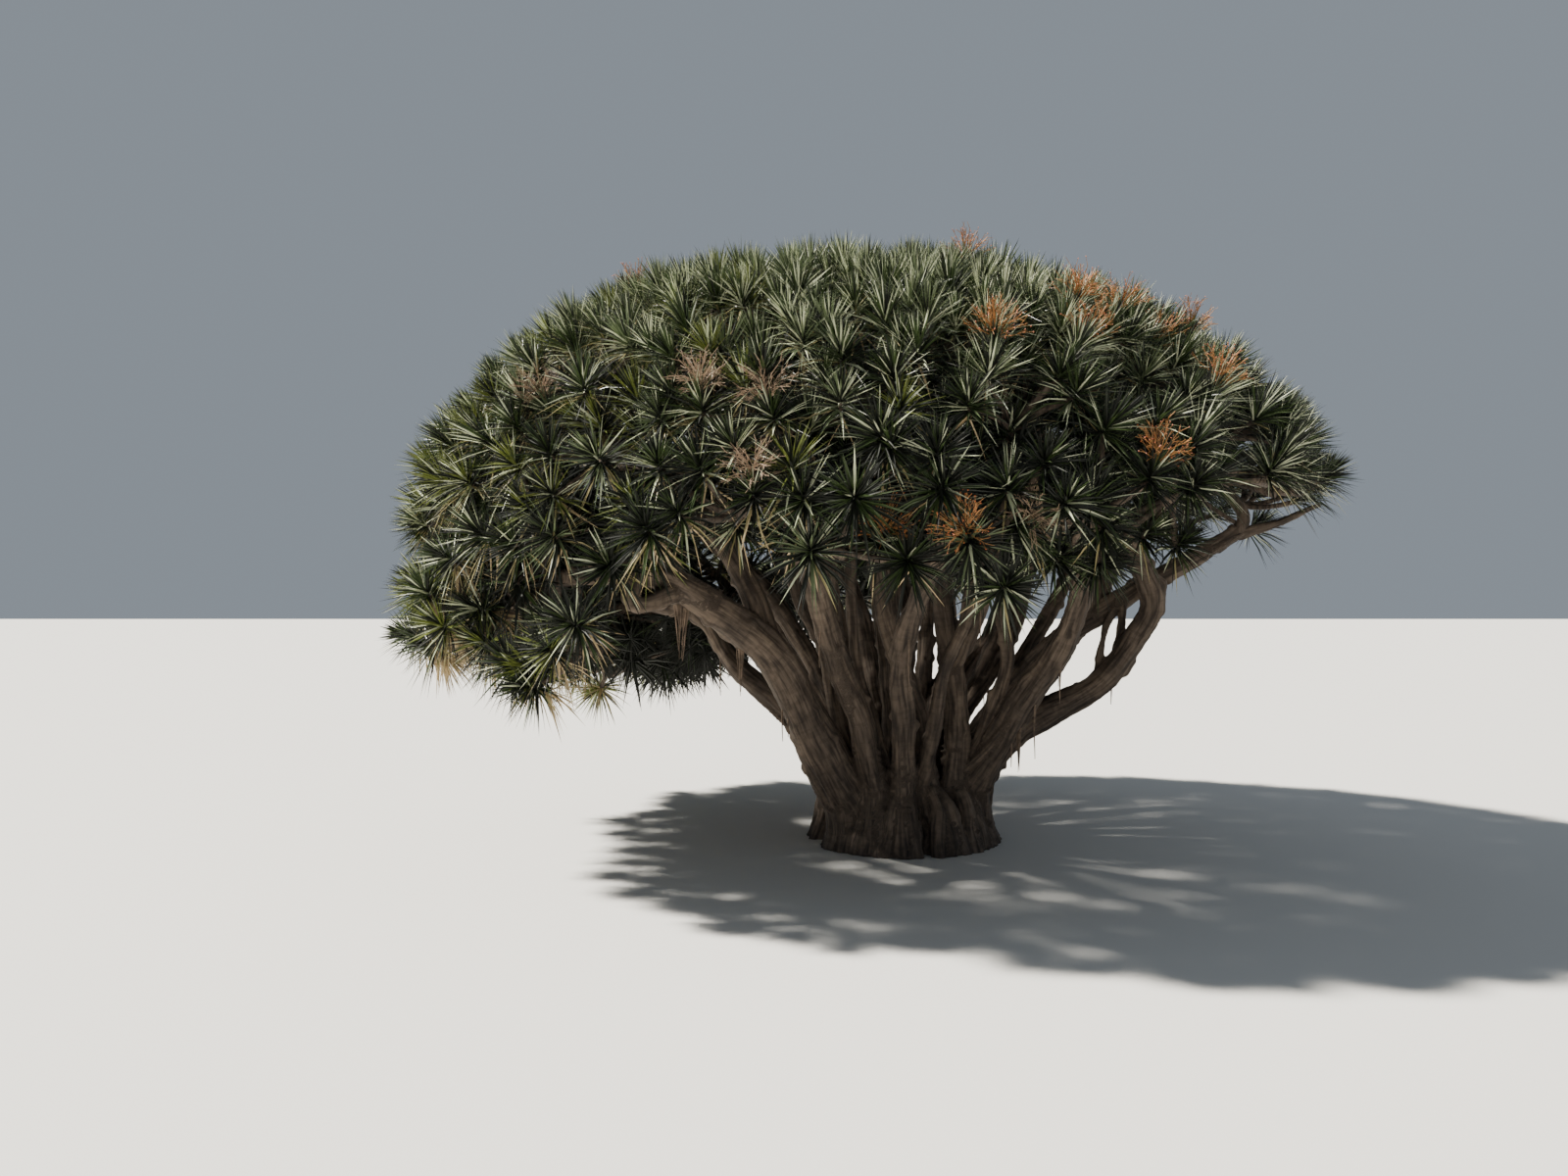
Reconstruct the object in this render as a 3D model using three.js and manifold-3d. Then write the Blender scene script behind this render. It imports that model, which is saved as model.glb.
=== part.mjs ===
// An old dragon tree: a low fluted trunk, a sheaf of stout boughs that lean apart from it, and a broad
// dome of foliage made of rosettes of sword leaves. Millimetres, +Z up, +X to the viewer's right and +Y
// away from the viewer, with the origin on the ground at the middle of the trunk.
import * as THREE from "three";
import { ConvexGeometry } from "three/addons/geometries/ConvexGeometry.js";
import { mergeVertices } from "three/addons/utils/BufferGeometryUtils.js";
import Module from "manifold-3d";

const wasm = await Module();
wasm.setup();

// The crown's envelope, which the leaf tips reach: its centre, and how far it reaches from there.
const CROWN = { x: -380, y: 0, z: 3400 };
const REACH = { left: 5900, right: 5960, front: 5250, back: 5350, up: 3900, down: 6500 };
const SQUARENESS = { left: 2.42, right: 2 };
// Where boughs reach out low on the left, the envelope bulges by a share of its reach.
const BULGE = { azimuth: 202, elevation: -6, width: 12, share: 0.05 };
// The crown's lower edge as an elevation seen from its centre, in degrees: a mean, a rise to the right, a
// drop to the back, dips where twigs hang low at the front left and the back left, and rises (drops below
// nought) at the left tip, over the arched bough and at the front right.
const RIM = { mean: -1.5, rightRise: 11.5, backDrop: 3.5 };
const DIPS = [
  { azimuth: 226, width: 7, drop: 7 },
  { azimuth: 130, width: 28, drop: 7 },
  { azimuth: 185, width: 22, drop: -5.5 },
  { azimuth: 246, width: 12, drop: -9.5 },
  { azimuth: 325, width: 20, drop: -2 },
];

// The trunk's radius and flare, and the ridge of a width in degrees that runs down it from each bough whose
// foot lies further out than the inner feet do. Each ring has a height and a share of the full reach, and
// the crest closes the top between the boughs.
const TRUNK = { radius: 800, flare: 210, flareHeight: 200, ridge: 190, ridgeWidth: 10, sides: 36 };
const INNER_FEET = 550;
const TRUNK_RINGS = [[0, 1], [90, 1], [220, 0.99], [430, 0.95], [680, 0.88]];
const CREST = { rise: 170, share: 0.45 };

// Rosettes are spread over the envelope and pushed apart in rounds. Their hubs lie a leaf's length inside it,
// give or take some shares of that length.
const ROSETTES = { count: 121, rounds: 60, spacing: 1.45, push: 0.058, nearShare: 0.97, moreShare: 0.1 };
// Bands of leaves cover a rosette's hub between these angles from its axis, and point along the middle ones,
// each band's leaves leaning round by a share of a sector so that they stand between those of the next.
const LEAF = { length: 720, shortest: 250, hub: 135, sectors: 6, clearance: 12, limbClearance: 90 };
const LEAF_RINGS = [122, 78, 34];
const LEAF_POINTS = [99, 55];
const LEANS = [-0.22, 0.22];
const LEAF_TESTS = [0.5, 0.75, 1]; // shares of a leaf's length that are kept clear of cores and limbs
const STEM = { radius: 85, tip: 60, sides: 5, straightShare: 0.5, pastFork: 90 };
const CORE = { spread: 560, top: 215, bottom: 560, bottomPull: 0.5, hem: 70, margin: 12, clearance: 30 };
const FORK_DEPTH = 380; // below the middle of a mass's hubs
const FRUIT = { stalk: 330, hub: 60, spike: 230, sectors: 5 };
const FRUIT_RINGS = [116, 76, 36];
const FRUIT_POINTS = [97, 55];
// Where fruiting heads stand: azimuths and elevations seen from the crown's centre, in degrees.
const FRUITING = [[282, 29], [292, 24], [307, 35], [312, 21], [295, 10], [268, 2], [250, 12],
  [60, 35], [140, 30], [200, 45]];
const LIMB = { sides: 7, sideLimbSides: 6, stepLength: 580, flutes: 3, fluteDepth: 0.07, taper: 0.75 };
const SWELLING = { share: 0.1, length: 0.06 }; // at a limb's end, where it parts
const CONTINUED = 0.3; // share of its first stretch that a continuing limb runs straight on
const AERIAL = { sway: 0.05, middle: 0.5, tipShare: 0.12, taperPower: 0.8, sides: 6 };
const AXIS_SOURCE_Z = 2300; // rosettes face away from this height on the crown's axis
const GAP = 0.3; // clearance between touching pieces
const KNOT_SPACING = 60; // between the points of a limb that leaves are held clear of
const SEED = 20611;

const COLOUR = { bark: 0x6b5a4b, root: 0x75614f, leaf: 0x55683f };
const DEG = Math.PI / 180;
const GOLDEN_ANGLE = 137.508;
const TINY = 1e-6;

// Masses of foliage by tier: their azimuths in degrees from +X, their elevation above the rim, and how far
// out towards the envelope their limbs enter them.
const TIERS = [
  { name: "rim", azimuths: [0, 40, 80, 118, 152, 186, 216, 248, 284, 322], aboveRim: 9, entry: 0.6 },
  { name: "mid", azimuths: [20, 65, 110, 155, 200, 245, 290, 335], aboveRim: 36, entry: 0.6 },
  { name: "upper", azimuths: [30, 102, 174, 246, 318], aboveRim: 62, entry: 0.58 },
  { name: "top", azimuths: [0], aboveRim: 95, entry: 0.58 },
];

// Boughs and side limbs, in the order in which they are built. A bough starts at a foot inside the trunk, a
// side limb at a share of its parent's length, and a continuing limb at its parent's tip. Each passes its
// via points, and ends where it enters the mass that it carries, or at an end of its own.
const LIMBS = [
  { name: "bough_left_arch", radius: [320, 165], foot: [-560, -430, 330],
    via: [[-1180, -980, 1500], [-1640, -1330, 2420]], end: [-2880, -1750, 3330] },
  { name: "bough_outer_left", radius: [205, 105], foot: [-620, 60, 330], carries: "rim_152",
    via: [[-1450, 150, 1540], [-2180, 260, 2180], [-2560, 480, 2750]] },
  { name: "bough_front_left", radius: [200, 100], foot: [-330, -640, 330], carries: "rim_248",
    via: [[-560, -930, 1500], [-960, -1280, 2450]] },
  { name: "bough_front", radius: [165, 88], foot: [-80, -640, 330], carries: "rim_284",
    via: [[-120, -980, 1500], [-200, -1560, 2500]] },
  { name: "bough_front_inner", radius: [150, 88], foot: [250, -520, 330], carries: "upper_246",
    via: [[120, -640, 1500], [-300, -720, 2900]] },
  { name: "bough_front_upright", radius: [165, 90], foot: [540, -420, 330], carries: "upper_318",
    via: [[600, -520, 1700], [450, -620, 2900]] },
  { name: "bough_front_right", radius: [215, 105], foot: [640, -180, 330], carries: "rim_322",
    via: [[1330, -800, 1720], [1830, -1400, 2850]] },
  { name: "bough_right_low", radius: [285, 72], taper: 0.5, foot: [620, 110, 330], carries: "mid_335",
    via: [[1430, 90, 1330], [2470, 20, 1950], [2900, -60, 2540], [3080, -260, 3100]] },
  { name: "bough_right_reach", radius: [225, 95], foot: [500, 400, 330], carries: "rim_0",
    via: [[1250, 520, 1500], [2250, 420, 2600], [3550, 60, 3430]], end: [4250, -20, 3900] },
  { name: "bough_back_right", radius: [235, 105], foot: [260, 620, 330], carries: "rim_40",
    via: [[850, 1450, 1600], [1650, 2250, 2650]] },
  { name: "bough_back", radius: [215, 100], foot: [-60, 640, 330], carries: "rim_80",
    via: [[80, 1600, 1700], [330, 2450, 2550]] },
  { name: "bough_back_left", radius: [240, 105], foot: [-400, 480, 330], carries: "rim_118",
    via: [[-900, 1350, 1500], [-1500, 2250, 2450]] },
  { name: "bough_centre", radius: [230, 115], foot: [0, 20, 330], carries: "top_0",
    via: [[-60, 120, 1900], [-260, 80, 3600]] },
  { name: "bough_inner_right", radius: [165, 90], foot: [390, -60, 330], carries: "upper_30",
    via: [[640, 90, 1700], [520, 330, 3500]] },
  { name: "bough_inner_left", radius: [165, 90], foot: [-390, -90, 330], carries: "upper_174",
    via: [[-610, -150, 1700], [-1010, 20, 3300]] },
  { name: "bough_inner_back_right", radius: [170, 92], foot: [270, 270, 330], carries: "mid_65",
    via: [[520, 780, 1600], [1180, 1580, 3000]] },
  { name: "bough_inner_back", radius: [165, 90], foot: [-80, 380, 330], carries: "mid_110",
    via: [[-260, 900, 1700], [-520, 1800, 3100]] },
  { name: "bough_inner_back_left", radius: [170, 92], foot: [-330, 210, 330], carries: "mid_155",
    via: [[-820, 520, 1600], [-1650, 1150, 2950]] },
  { name: "limb_left_reach", radius: [155, 95], parent: "bough_left_arch", continues: true,
    carries: "rim_186", via: [] },
  { name: "limb_left_low", radius: [115, 82], parent: "bough_left_arch", at: 0.93,
    carries: "rim_216", via: [[-3180, -2250, 3050]] },
  { name: "limb_left_upper", radius: [170, 95], parent: "bough_left_arch", at: 0.6,
    carries: "mid_200", via: [[-1950, -1180, 3250]] },
  { name: "limb_front_left_upper", radius: [125, 85], parent: "bough_front_left", at: 0.5,
    carries: "mid_245", via: [[-1020, -1330, 3300]] },
  { name: "limb_front_fork", radius: [128, 88], parent: "bough_front_upright", at: 0.36,
    carries: "mid_290", via: [[830, -900, 3050]] },
  { name: "limb_right_mid", radius: [145, 92], parent: "bough_right_reach", at: 0.6,
    carries: "mid_20", via: [[2700, 620, 3700]] },
  { name: "limb_centre_back", radius: [130, 88], parent: "bough_centre", at: 0.66,
    carries: "upper_102", via: [[-380, 700, 4400]] },
];

// Hanging aerial roots, each from a share of its bough's length straight down to its pointed end.
const AERIAL_ROOTS = [
  { name: "root_arch_end", limb: "bough_left_arch", at: 0.94, length: 800, radius: 62 },
  { name: "root_arch_middle", limb: "bough_left_arch", at: 0.74, length: 780, radius: 36 },
  { name: "root_front_fork", limb: "limb_front_fork", at: 0.5, length: 780, radius: 70 },
  { name: "root_front_right", limb: "bough_front_right", at: 0.34, length: 760, radius: 42 },
  { name: "root_right_reach", limb: "bough_right_reach", at: 0.42, length: 900, radius: 46 },
];

const vector = ([x, y, z]) => new THREE.Vector3(x, y, z);
const up = vector([0, 0, 1]);
const crownCentre = vector([CROWN.x, CROWN.y, CROWN.z]);
const rosetteSource = vector([CROWN.x, CROWN.y, AXIS_SOURCE_Z]);

function mean(points) {
  const sum = points.reduce((total, point) => total.add(point), new THREE.Vector3());
  return sum.divideScalar(points.length);
}

// A repeatable stream of numbers from 0 to 1.
function seeded(seed) {
  let state = seed;
  return () => {
    state = (state * 16807) % 2147483647;
    return state / 2147483647;
  };
}

function direction(azimuth, elevation) {
  const flat = Math.cos(elevation * DEG);
  return vector([Math.cos(azimuth * DEG) * flat, Math.sin(azimuth * DEG) * flat, Math.sin(elevation * DEG)]);
}

// How far one azimuth in degrees lies from another, at most 180.
const turnBetween = (a, b) => Math.abs(((a - b + 540) % 360) - 180);

// How far the envelope lies from the crown's centre along a unit vector.
function crownReach(d) {
  const right = 0.5 + 0.5 * d.x / Math.hypot(d.x, d.y, TINY);
  const power = THREE.MathUtils.lerp(SQUARENESS.left, SQUARENESS.right, right);
  const across = d.x / (d.x < 0 ? REACH.left : REACH.right);
  const away = d.y / (d.y < 0 ? REACH.front : REACH.back);
  const rise = Math.abs(d.z) / (d.z < 0 ? REACH.down : REACH.up);
  const off = d.angleTo(direction(BULGE.azimuth, BULGE.elevation)) / DEG / BULGE.width;
  const bulge = 1 + BULGE.share * Math.exp(-(off ** 2));
  return bulge * (Math.hypot(across, away) ** power + rise ** power) ** (-1 / power);
}

function rimElevation(azimuth) {
  let rim = RIM.mean + RIM.rightRise * Math.cos(azimuth * DEG) - RIM.backDrop * Math.sin(azimuth * DEG);
  for (const dip of DIPS) rim -= dip.drop * Math.exp(-((turnBetween(azimuth, dip.azimuth) / dip.width) ** 2));
  return rim;
}

const onEnvelope = (d, depth = 0) => crownCentre.clone().addScaledVector(d, crownReach(d) - depth);

// Rosette directions: a golden-angle spiral from the crown's top to its rim, then pushed apart in rounds
// until they stand about evenly over the envelope, with none below the rim.
function rosetteDirections({ count, rounds, spacing, push }) {
  let directions = Array.from({ length: count }, (_, k) => {
    const azimuth = (k * GOLDEN_ANGLE) % 360;
    const rise = Math.sin(rimElevation(azimuth) * DEG);
    return direction(azimuth, Math.asin(1 - (k + 0.5) / count * (1 - rise)) / DEG);
  });
  const near = spacing * Math.sqrt(2 * Math.PI * REACH.left * REACH.front / count);
  for (let round = 0; round < rounds; round++) {
    const places = directions.map((d) => onEnvelope(d));
    directions = places.map((place) => {
      const moved = place.clone();
      for (const other of places) {
        const away = place.clone().sub(other);
        const distance = away.length();
        if (distance > 1 && distance < near) moved.addScaledVector(away, push * (near / distance - 1));
      }
      const d = moved.sub(crownCentre).normalize();
      const azimuth = Math.atan2(d.y, d.x) / DEG;
      return direction(azimuth, Math.max(Math.asin(d.z) / DEG, rimElevation(azimuth)));
    });
  }
  return directions;
}

// A closed solid from points and the triangles between them.
function solidFrom(points, triangles) {
  return solidOf(new THREE.BufferGeometry().setFromPoints(points).setIndex(triangles.flat()));
}

function solidOf(geometry) {
  geometry.deleteAttribute("normal");
  geometry.deleteAttribute("uv");
  const merged = mergeVertices(geometry, 1e-3);
  return new wasm.Manifold(new wasm.Mesh({
    numProp: 3,
    vertProperties: merged.attributes.position.array,
    triVerts: new Uint32Array(merged.index.array),
  }));
}

// A solid through rings of points, each with the same count, closed by flat ends.
function loft(rings) {
  const sides = rings[0].length;
  const triangles = [];
  for (let i = 1; i < rings.length; i++)
    for (let j = 0; j < sides; j++) {
      const [a, b] = [(i - 1) * sides + j, (i - 1) * sides + (j + 1) % sides];
      triangles.push([a, b, b + sides], [a, b + sides, a + sides]);
    }
  const last = (rings.length - 1) * sides;
  for (let j = 1; j < sides - 1; j++) triangles.push([0, j + 1, j], [last, last + j, last + j + 1]);
  return solidFrom(rings.flat(), triangles);
}

// A tapering limb along a curve. Grown is extra radius and length, for cutting a clear seat in a neighbour.
function limbSolid(curve, radiusAt, sides, grown = 0) {
  const steps = Math.max(2, Math.round(curve.getLength() / LIMB.stepLength));
  const frames = curve.computeFrenetFrames(steps);
  const rings = frames.tangents.map((tangent, i) => {
    const share = i / steps;
    const centre = curve.getPointAt(share);
    if (i === 0 || i === steps) centre.addScaledVector(tangent, i ? grown : -grown);
    return Array.from({ length: sides }, (_, j) => {
      const turn = j / sides * 2 * Math.PI;
      const radius = radiusAt(share, turn) + grown / Math.cos(Math.PI / sides);
      return centre.clone().addScaledVector(frames.normals[i], radius * Math.cos(turn))
        .addScaledVector(frames.binormals[i], radius * Math.sin(turn));
    });
  });
  return loft(rings);
}

// A limb's radius at a share of its length: it narrows by a power of that share.
function limbRadius([start, end], power = LIMB.taper) {
  return (share, turn) => {
    const narrowed = THREE.MathUtils.lerp(start, end, share ** power);
    const swelling = 1 + SWELLING.share * Math.exp(-(((share - 1) / SWELLING.length) ** 2));
    return narrowed * swelling * (1 + LIMB.fluteDepth * Math.cos(LIMB.flutes * turn + start));
  };
}

function biggestPiece(solid) {
  return solid.decompose().sort((a, b) => b.volume() - a.volume())[0];
}

// The trunk: a broad stool with a flared flat foot, a ridge under each bough and a low crest between them.
function trunkSolid(grown = 0) {
  const outer = LIMBS.filter(({ foot }) => foot && Math.hypot(foot[0], foot[1]) > INNER_FEET);
  const feet = outer.map(({ foot }) => Math.atan2(foot[1], foot[0]) / DEG);
  const ring = (height, share, z) => Array.from({ length: TRUNK.sides }, (_, j) => {
    const turn = j / TRUNK.sides * 360;
    const off = Math.min(...feet.map((foot) => turnBetween(turn, foot)));
    const ridge = TRUNK.ridge * Math.exp(-((off / TRUNK.ridgeWidth) ** 2));
    const flare = TRUNK.flare * Math.exp(-height / TRUNK.flareHeight);
    return direction(turn, 0).multiplyScalar(share * (TRUNK.radius + flare + ridge) + grown).setZ(z);
  });
  const rings = TRUNK_RINGS.map(([height, share]) => ring(height, share, height));
  const [top, topShare] = TRUNK_RINGS.at(-1);
  rings.splice(-1, 1, ring(top, topShare, top + grown), ring(top, CREST.share, top + CREST.rise + grown));
  return loft(rings);
}

const masses = TIERS.flatMap((tier) => tier.azimuths.map((azimuth) => {
  const d = direction(azimuth, Math.min(90, rimElevation(azimuth) + tier.aboveRim));
  return {
    name: tier.name + "_" + azimuth,
    centre: onEnvelope(d, LEAF.length),
    entry: onEnvelope(d, crownReach(d) * (1 - tier.entry)),
    rosettes: [],
  };
}));

const random = seeded(SEED);
const rosettes = rosetteDirections(ROSETTES).map((d) => {
  const centre = onEnvelope(d, LEAF.length * (ROSETTES.nearShare + ROSETTES.moreShare * random()));
  const axis = centre.clone().sub(rosetteSource).normalize();
  return { d, centre, axis, turn: random() * 180 };
});
for (const [azimuth, elevation] of FRUITING) {
  const aim = direction(azimuth, elevation);
  rosettes.reduce((best, rosette) => (rosette.d.dot(aim) > best.d.dot(aim) ? rosette : best)).fruiting = true;
}
for (const rosette of rosettes) {
  const away = (mass) => mass.centre.distanceTo(rosette.centre);
  masses.reduce((best, mass) => (away(mass) < away(best) ? mass : best)).rosettes.push(rosette);
}

// Limbs, each cut clear of the trunk or parent and of those already built from it.
const limbs = new Map();
function buildLimb(row) {
  const parent = limbs.get(row.parent);
  const start = row.foot ? vector(row.foot) : parent.curve.getPointAt(row.continues ? 1 : row.at);
  const mass = masses.find(({ name }) => name === row.carries);
  const points = [start, ...row.via.map(vector), row.end ? vector(row.end) : mass.entry];
  if (row.continues) {
    const tangent = parent.curve.getTangentAt(1);
    start.addScaledVector(tangent, GAP);
    points.splice(1, 0, start.clone().addScaledVector(tangent, CONTINUED * start.distanceTo(points[1])));
  }
  const curve = new THREE.CatmullRomCurve3(points, false, "centripetal");
  const sides = row.parent ? LIMB.sideLimbSides : LIMB.sides;
  const radiusAt = limbRadius(row.radius, row.taper);
  const neighbours = [...limbs.values()].filter((limb) => limb.row.parent === row.parent);
  if (parent) neighbours.push(parent);
  let solid = limbSolid(curve, radiusAt, sides);
  if (!row.parent) solid = solid.subtract(trunkSolid(GAP));
  for (const near of neighbours) solid = solid.subtract(near.grown);
  const count = Math.ceil(curve.getLength() / KNOT_SPACING);
  const knots = curve.getSpacedPoints(count).map((place, i) => ({ place, radius: radiusAt(i / count, 0) }));
  const grown = limbSolid(curve, radiusAt, sides, GAP);
  limbs.set(row.name, { row, curve, mass, knots, grown, solid: biggestPiece(solid) });
}
LIMBS.forEach(buildLimb);
const allLimbs = [...limbs.values()];

// The dense inside of a mass: a low convex block under its rosettes, cut clear of the limbs and of the
// planes halfway to the other masses. It tells whether it holds a point.
function coreBlock(mass) {
  const hubs = mass.rosettes.map(({ centre }) => centre);
  const middle = mean(hubs);
  const outward = middle.clone().sub(rosetteSource).normalize();
  const frame = new THREE.Quaternion().setFromUnitVectors(up, outward);
  const beside = (x, y) => vector([x * CORE.spread, y * CORE.spread, -CORE.top]).applyQuaternion(frame);
  const corners = [beside(1, 0), beside(0, 1), beside(-1, 0), beside(0, -1)];
  const top = hubs.flatMap((hub) => corners.map((corner) => hub.clone().add(corner)));
  const inward = hubs.map((hub) => hub.clone().lerp(middle, CORE.bottomPull));
  const bottom = inward.map((point) => point.addScaledVector(outward, -CORE.bottom));
  const geometry = new ConvexGeometry([...top, ...bottom]);
  const { position, normal } = geometry.attributes;
  const planes = [];
  for (let i = 0; i < position.count; i += 3) {
    const facing = new THREE.Vector3().fromBufferAttribute(normal, i);
    const corner = new THREE.Vector3().fromBufferAttribute(position, i);
    planes.push(new THREE.Plane().setFromNormalAndCoplanarPoint(facing, corner));
  }
  let solid = solidOf(geometry);
  for (const other of masses.filter((near) => near !== mass)) {
    const away = mass.centre.clone().sub(other.centre).normalize();
    const halfway = mass.centre.clone().add(other.centre).divideScalar(2);
    solid = solid.trimByPlane(away.toArray(), away.dot(halfway) + CORE.margin);
  }
  solid = solid.trimByPlane(up.toArray(), Math.min(...hubs.map(({ z }) => z)) - CORE.hem);
  for (const { grown } of allLimbs) solid = solid.subtract(grown);
  const holds = (place) => planes.every((plane) => plane.distanceToPoint(place) < CORE.clearance);
  return { solid, holds };
}
for (const mass of masses) mass.core = coreBlock(mass);

function nearLimb(place) {
  const near = (knot) => knot.place.distanceTo(place) < knot.radius + LEAF.limbClearance;
  return allLimbs.some(({ knots }) => knots.some(near));
}

// A leaf's length from a hub: it stops short of the plane halfway to each neighbouring rosette, so that each
// rosette keeps to its own space. It is left out where that would make it a stub, or where it would touch a
// limb or be buried in a core.
function leafLength(centre, d) {
  let length = LEAF.length;
  for (const { centre: other } of rosettes) {
    const across = other.clone().sub(centre);
    const along = d.dot(across);
    if (across.length() < 1 || along <= 0) continue;
    length = Math.min(length, across.lengthSq() / (2 * along) - LEAF.clearance);
  }
  const places = LEAF_TESTS.map((share) => centre.clone().addScaledVector(d, share * length));
  const blocked = places.some((place) => nearLimb(place) || masses.some(({ core }) => core.holds(place)));
  return length < LEAF.shortest || blocked ? 0 : length;
}

// A rosette: a small hub, covered by bands of sword leaves, on a stout twig that narrows to a joint. It
// faces along an axis, and each leaf ends where lengthOf says; one with no length is left as a flat facet.
function rosetteSolid({ centre, axis, turn }, look, joint, lengthOf) {
  const { hub, sectors, rings: polars, points: aims } = look;
  const frame = new THREE.Quaternion().setFromUnitVectors(up, axis);
  const toward = (polar, step) => direction(turn + step * 360 / sectors, 90 - polar).applyQuaternion(frame);
  const points = [];
  const triangles = [];
  const add = (point) => points.push(point) - 1;
  const along = (d, reach) => add(centre.clone().addScaledVector(d, reach));
  const ring = (polar) => Array.from({ length: sectors }, (_, j) => along(toward(polar, j), hub));
  const rings = polars.map(ring);
  const foot = add(joint);
  rings[0].forEach((point, j, lowest) => triangles.push([lowest[(j + 1) % sectors], point, foot]));
  rings.slice(1).forEach((upper, i) => upper.forEach((corner, j) => {
    const next = (j + 1) % sectors;
    const corners = [rings[i][j], rings[i][next], upper[next], corner];
    const pointing = toward(aims[i], j + 0.5 + LEANS[i]);
    const length = lengthOf(centre, pointing);
    const tip = length ? along(pointing, length) : corners[2];
    corners.forEach((from, side) => {
      const to = corners[(side + 1) % 4];
      if (from !== tip && to !== tip) triangles.push([from, to, tip]);
    });
  }));
  const crest = along(axis, lengthOf(centre, axis) || hub);
  rings.at(-1).forEach((point, j, top) => triangles.push([point, top[(j + 1) % sectors], crest]));
  return solidFrom(points, triangles);
}

const leafyLook = { ...LEAF, rings: LEAF_RINGS, points: LEAF_POINTS };
const fruitLook = { ...FRUIT, rings: FRUIT_RINGS, points: FRUIT_POINTS };

// One mass: a stem from its limb's tip runs up to a fork inside the core, where it parts into a twig for
// each rosette. Some rosettes carry a fruiting head above their leaves.
function massSolid(mass, limbCurve) {
  const middle = mean(mass.rosettes.map(({ centre }) => centre));
  const outward = middle.clone().sub(rosetteSource).normalize();
  const fork = middle.addScaledVector(outward, -FORK_DEPTH);
  const tangent = limbCurve.getTangentAt(1);
  const start = limbCurve.getPointAt(1).addScaledVector(tangent, GAP);
  const bend = start.clone().addScaledVector(tangent, STEM.straightShare * start.distanceTo(fork));
  const end = fork.clone().addScaledVector(outward, STEM.pastFork);
  const stem = new THREE.QuadraticBezierCurve3(start, bend, end);
  const stemRadius = (share) => THREE.MathUtils.lerp(STEM.radius, STEM.tip, share);
  const solids = [limbSolid(stem, stemRadius, STEM.sides), mass.core.solid];
  for (const rosette of mass.rosettes) {
    solids.push(rosetteSolid(rosette, leafyLook, fork, leafLength));
    if (!rosette.fruiting) continue;
    const head = { ...rosette, centre: rosette.centre.clone().addScaledVector(rosette.axis, FRUIT.stalk) };
    solids.push(rosetteSolid(head, fruitLook, rosette.centre, () => FRUIT.spike));
  }
  return biggestPiece(wasm.Manifold.union(solids));
}

function aerialRootSolid({ limb, at, length, radius }) {
  const { curve, grown } = limbs.get(limb);
  const top = curve.getPointAt(at);
  const sway = AERIAL.sway * length;
  const middle = top.clone().add(vector([sway, 0, -AERIAL.middle * length]));
  const line = new THREE.CatmullRomCurve3([top, middle, top.clone().add(vector([0, sway, -length]))]);
  const narrowing = (share) => THREE.MathUtils.lerp(1, AERIAL.tipShare, share ** AERIAL.taperPower);
  const radiusAt = (share) => radius * narrowing(share);
  return biggestPiece(limbSolid(line, radiusAt, AERIAL.sides).subtract(grown));
}

// A named mesh of a solid, placed at a point of its own.
function mesh(name, solid, place, color) {
  const { vertProperties, triVerts } = solid.getMesh();
  const geometry = new THREE.BufferGeometry();
  geometry.setAttribute("position", new THREE.BufferAttribute(vertProperties, 3));
  geometry.setIndex(new THREE.BufferAttribute(triVerts, 1));
  geometry.translate(-place.x, -place.y, -place.z);
  geometry.computeVertexNormals();
  const material = new THREE.MeshStandardMaterial({ color, roughness: 0.8, metalness: 0 });
  const made = new THREE.Mesh(geometry, material);
  made.name = name;
  made.position.copy(place);
  return made;
}

const wood = new THREE.Group();
wood.add(mesh("trunk", trunkSolid(), new THREE.Vector3(), COLOUR.bark));
for (const { row, curve, solid } of allLimbs) {
  wood.add(mesh(row.name, solid, curve.getPointAt(0), COLOUR.bark));
}

const aerialRoots = new THREE.Group();
for (const row of AERIAL_ROOTS) {
  const place = limbs.get(row.limb).curve.getPointAt(row.at);
  aerialRoots.add(mesh(row.name, aerialRootSolid(row), place, COLOUR.root));
}

const foliage = new THREE.Group();
for (const { mass, curve } of allLimbs) {
  if (mass) foliage.add(mesh("foliage_" + mass.name, massSolid(mass, curve), mass.centre, COLOUR.leaf));
}

const tree = new THREE.Group();
tree.add(wood, aerialRoots, foliage);

export default tree;
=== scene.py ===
"""The looks of an old dragon tree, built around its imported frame. Metres, +Z up, +X to the viewer's right."""

import math
from collections import namedtuple
from functools import partial

import bpy
import numpy as np
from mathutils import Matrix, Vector
from mathutils.kdtree import KDTree


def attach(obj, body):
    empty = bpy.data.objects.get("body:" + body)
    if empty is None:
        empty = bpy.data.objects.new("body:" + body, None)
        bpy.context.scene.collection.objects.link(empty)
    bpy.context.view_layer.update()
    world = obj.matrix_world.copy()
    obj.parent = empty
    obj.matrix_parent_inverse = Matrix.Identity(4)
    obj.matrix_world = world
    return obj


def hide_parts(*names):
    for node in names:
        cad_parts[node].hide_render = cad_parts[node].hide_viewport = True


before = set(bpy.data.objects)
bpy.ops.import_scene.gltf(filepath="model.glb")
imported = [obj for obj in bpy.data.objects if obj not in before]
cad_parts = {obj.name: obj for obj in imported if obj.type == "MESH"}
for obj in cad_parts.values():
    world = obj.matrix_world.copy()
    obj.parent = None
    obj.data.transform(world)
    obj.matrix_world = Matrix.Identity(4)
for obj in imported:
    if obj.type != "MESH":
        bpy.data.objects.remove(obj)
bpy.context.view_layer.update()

# The crown's envelope, as in the solids: its centre, and how far the leaf tips reach from there.
CROWN = np.array([-0.38, 0.0, 3.4])
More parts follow.
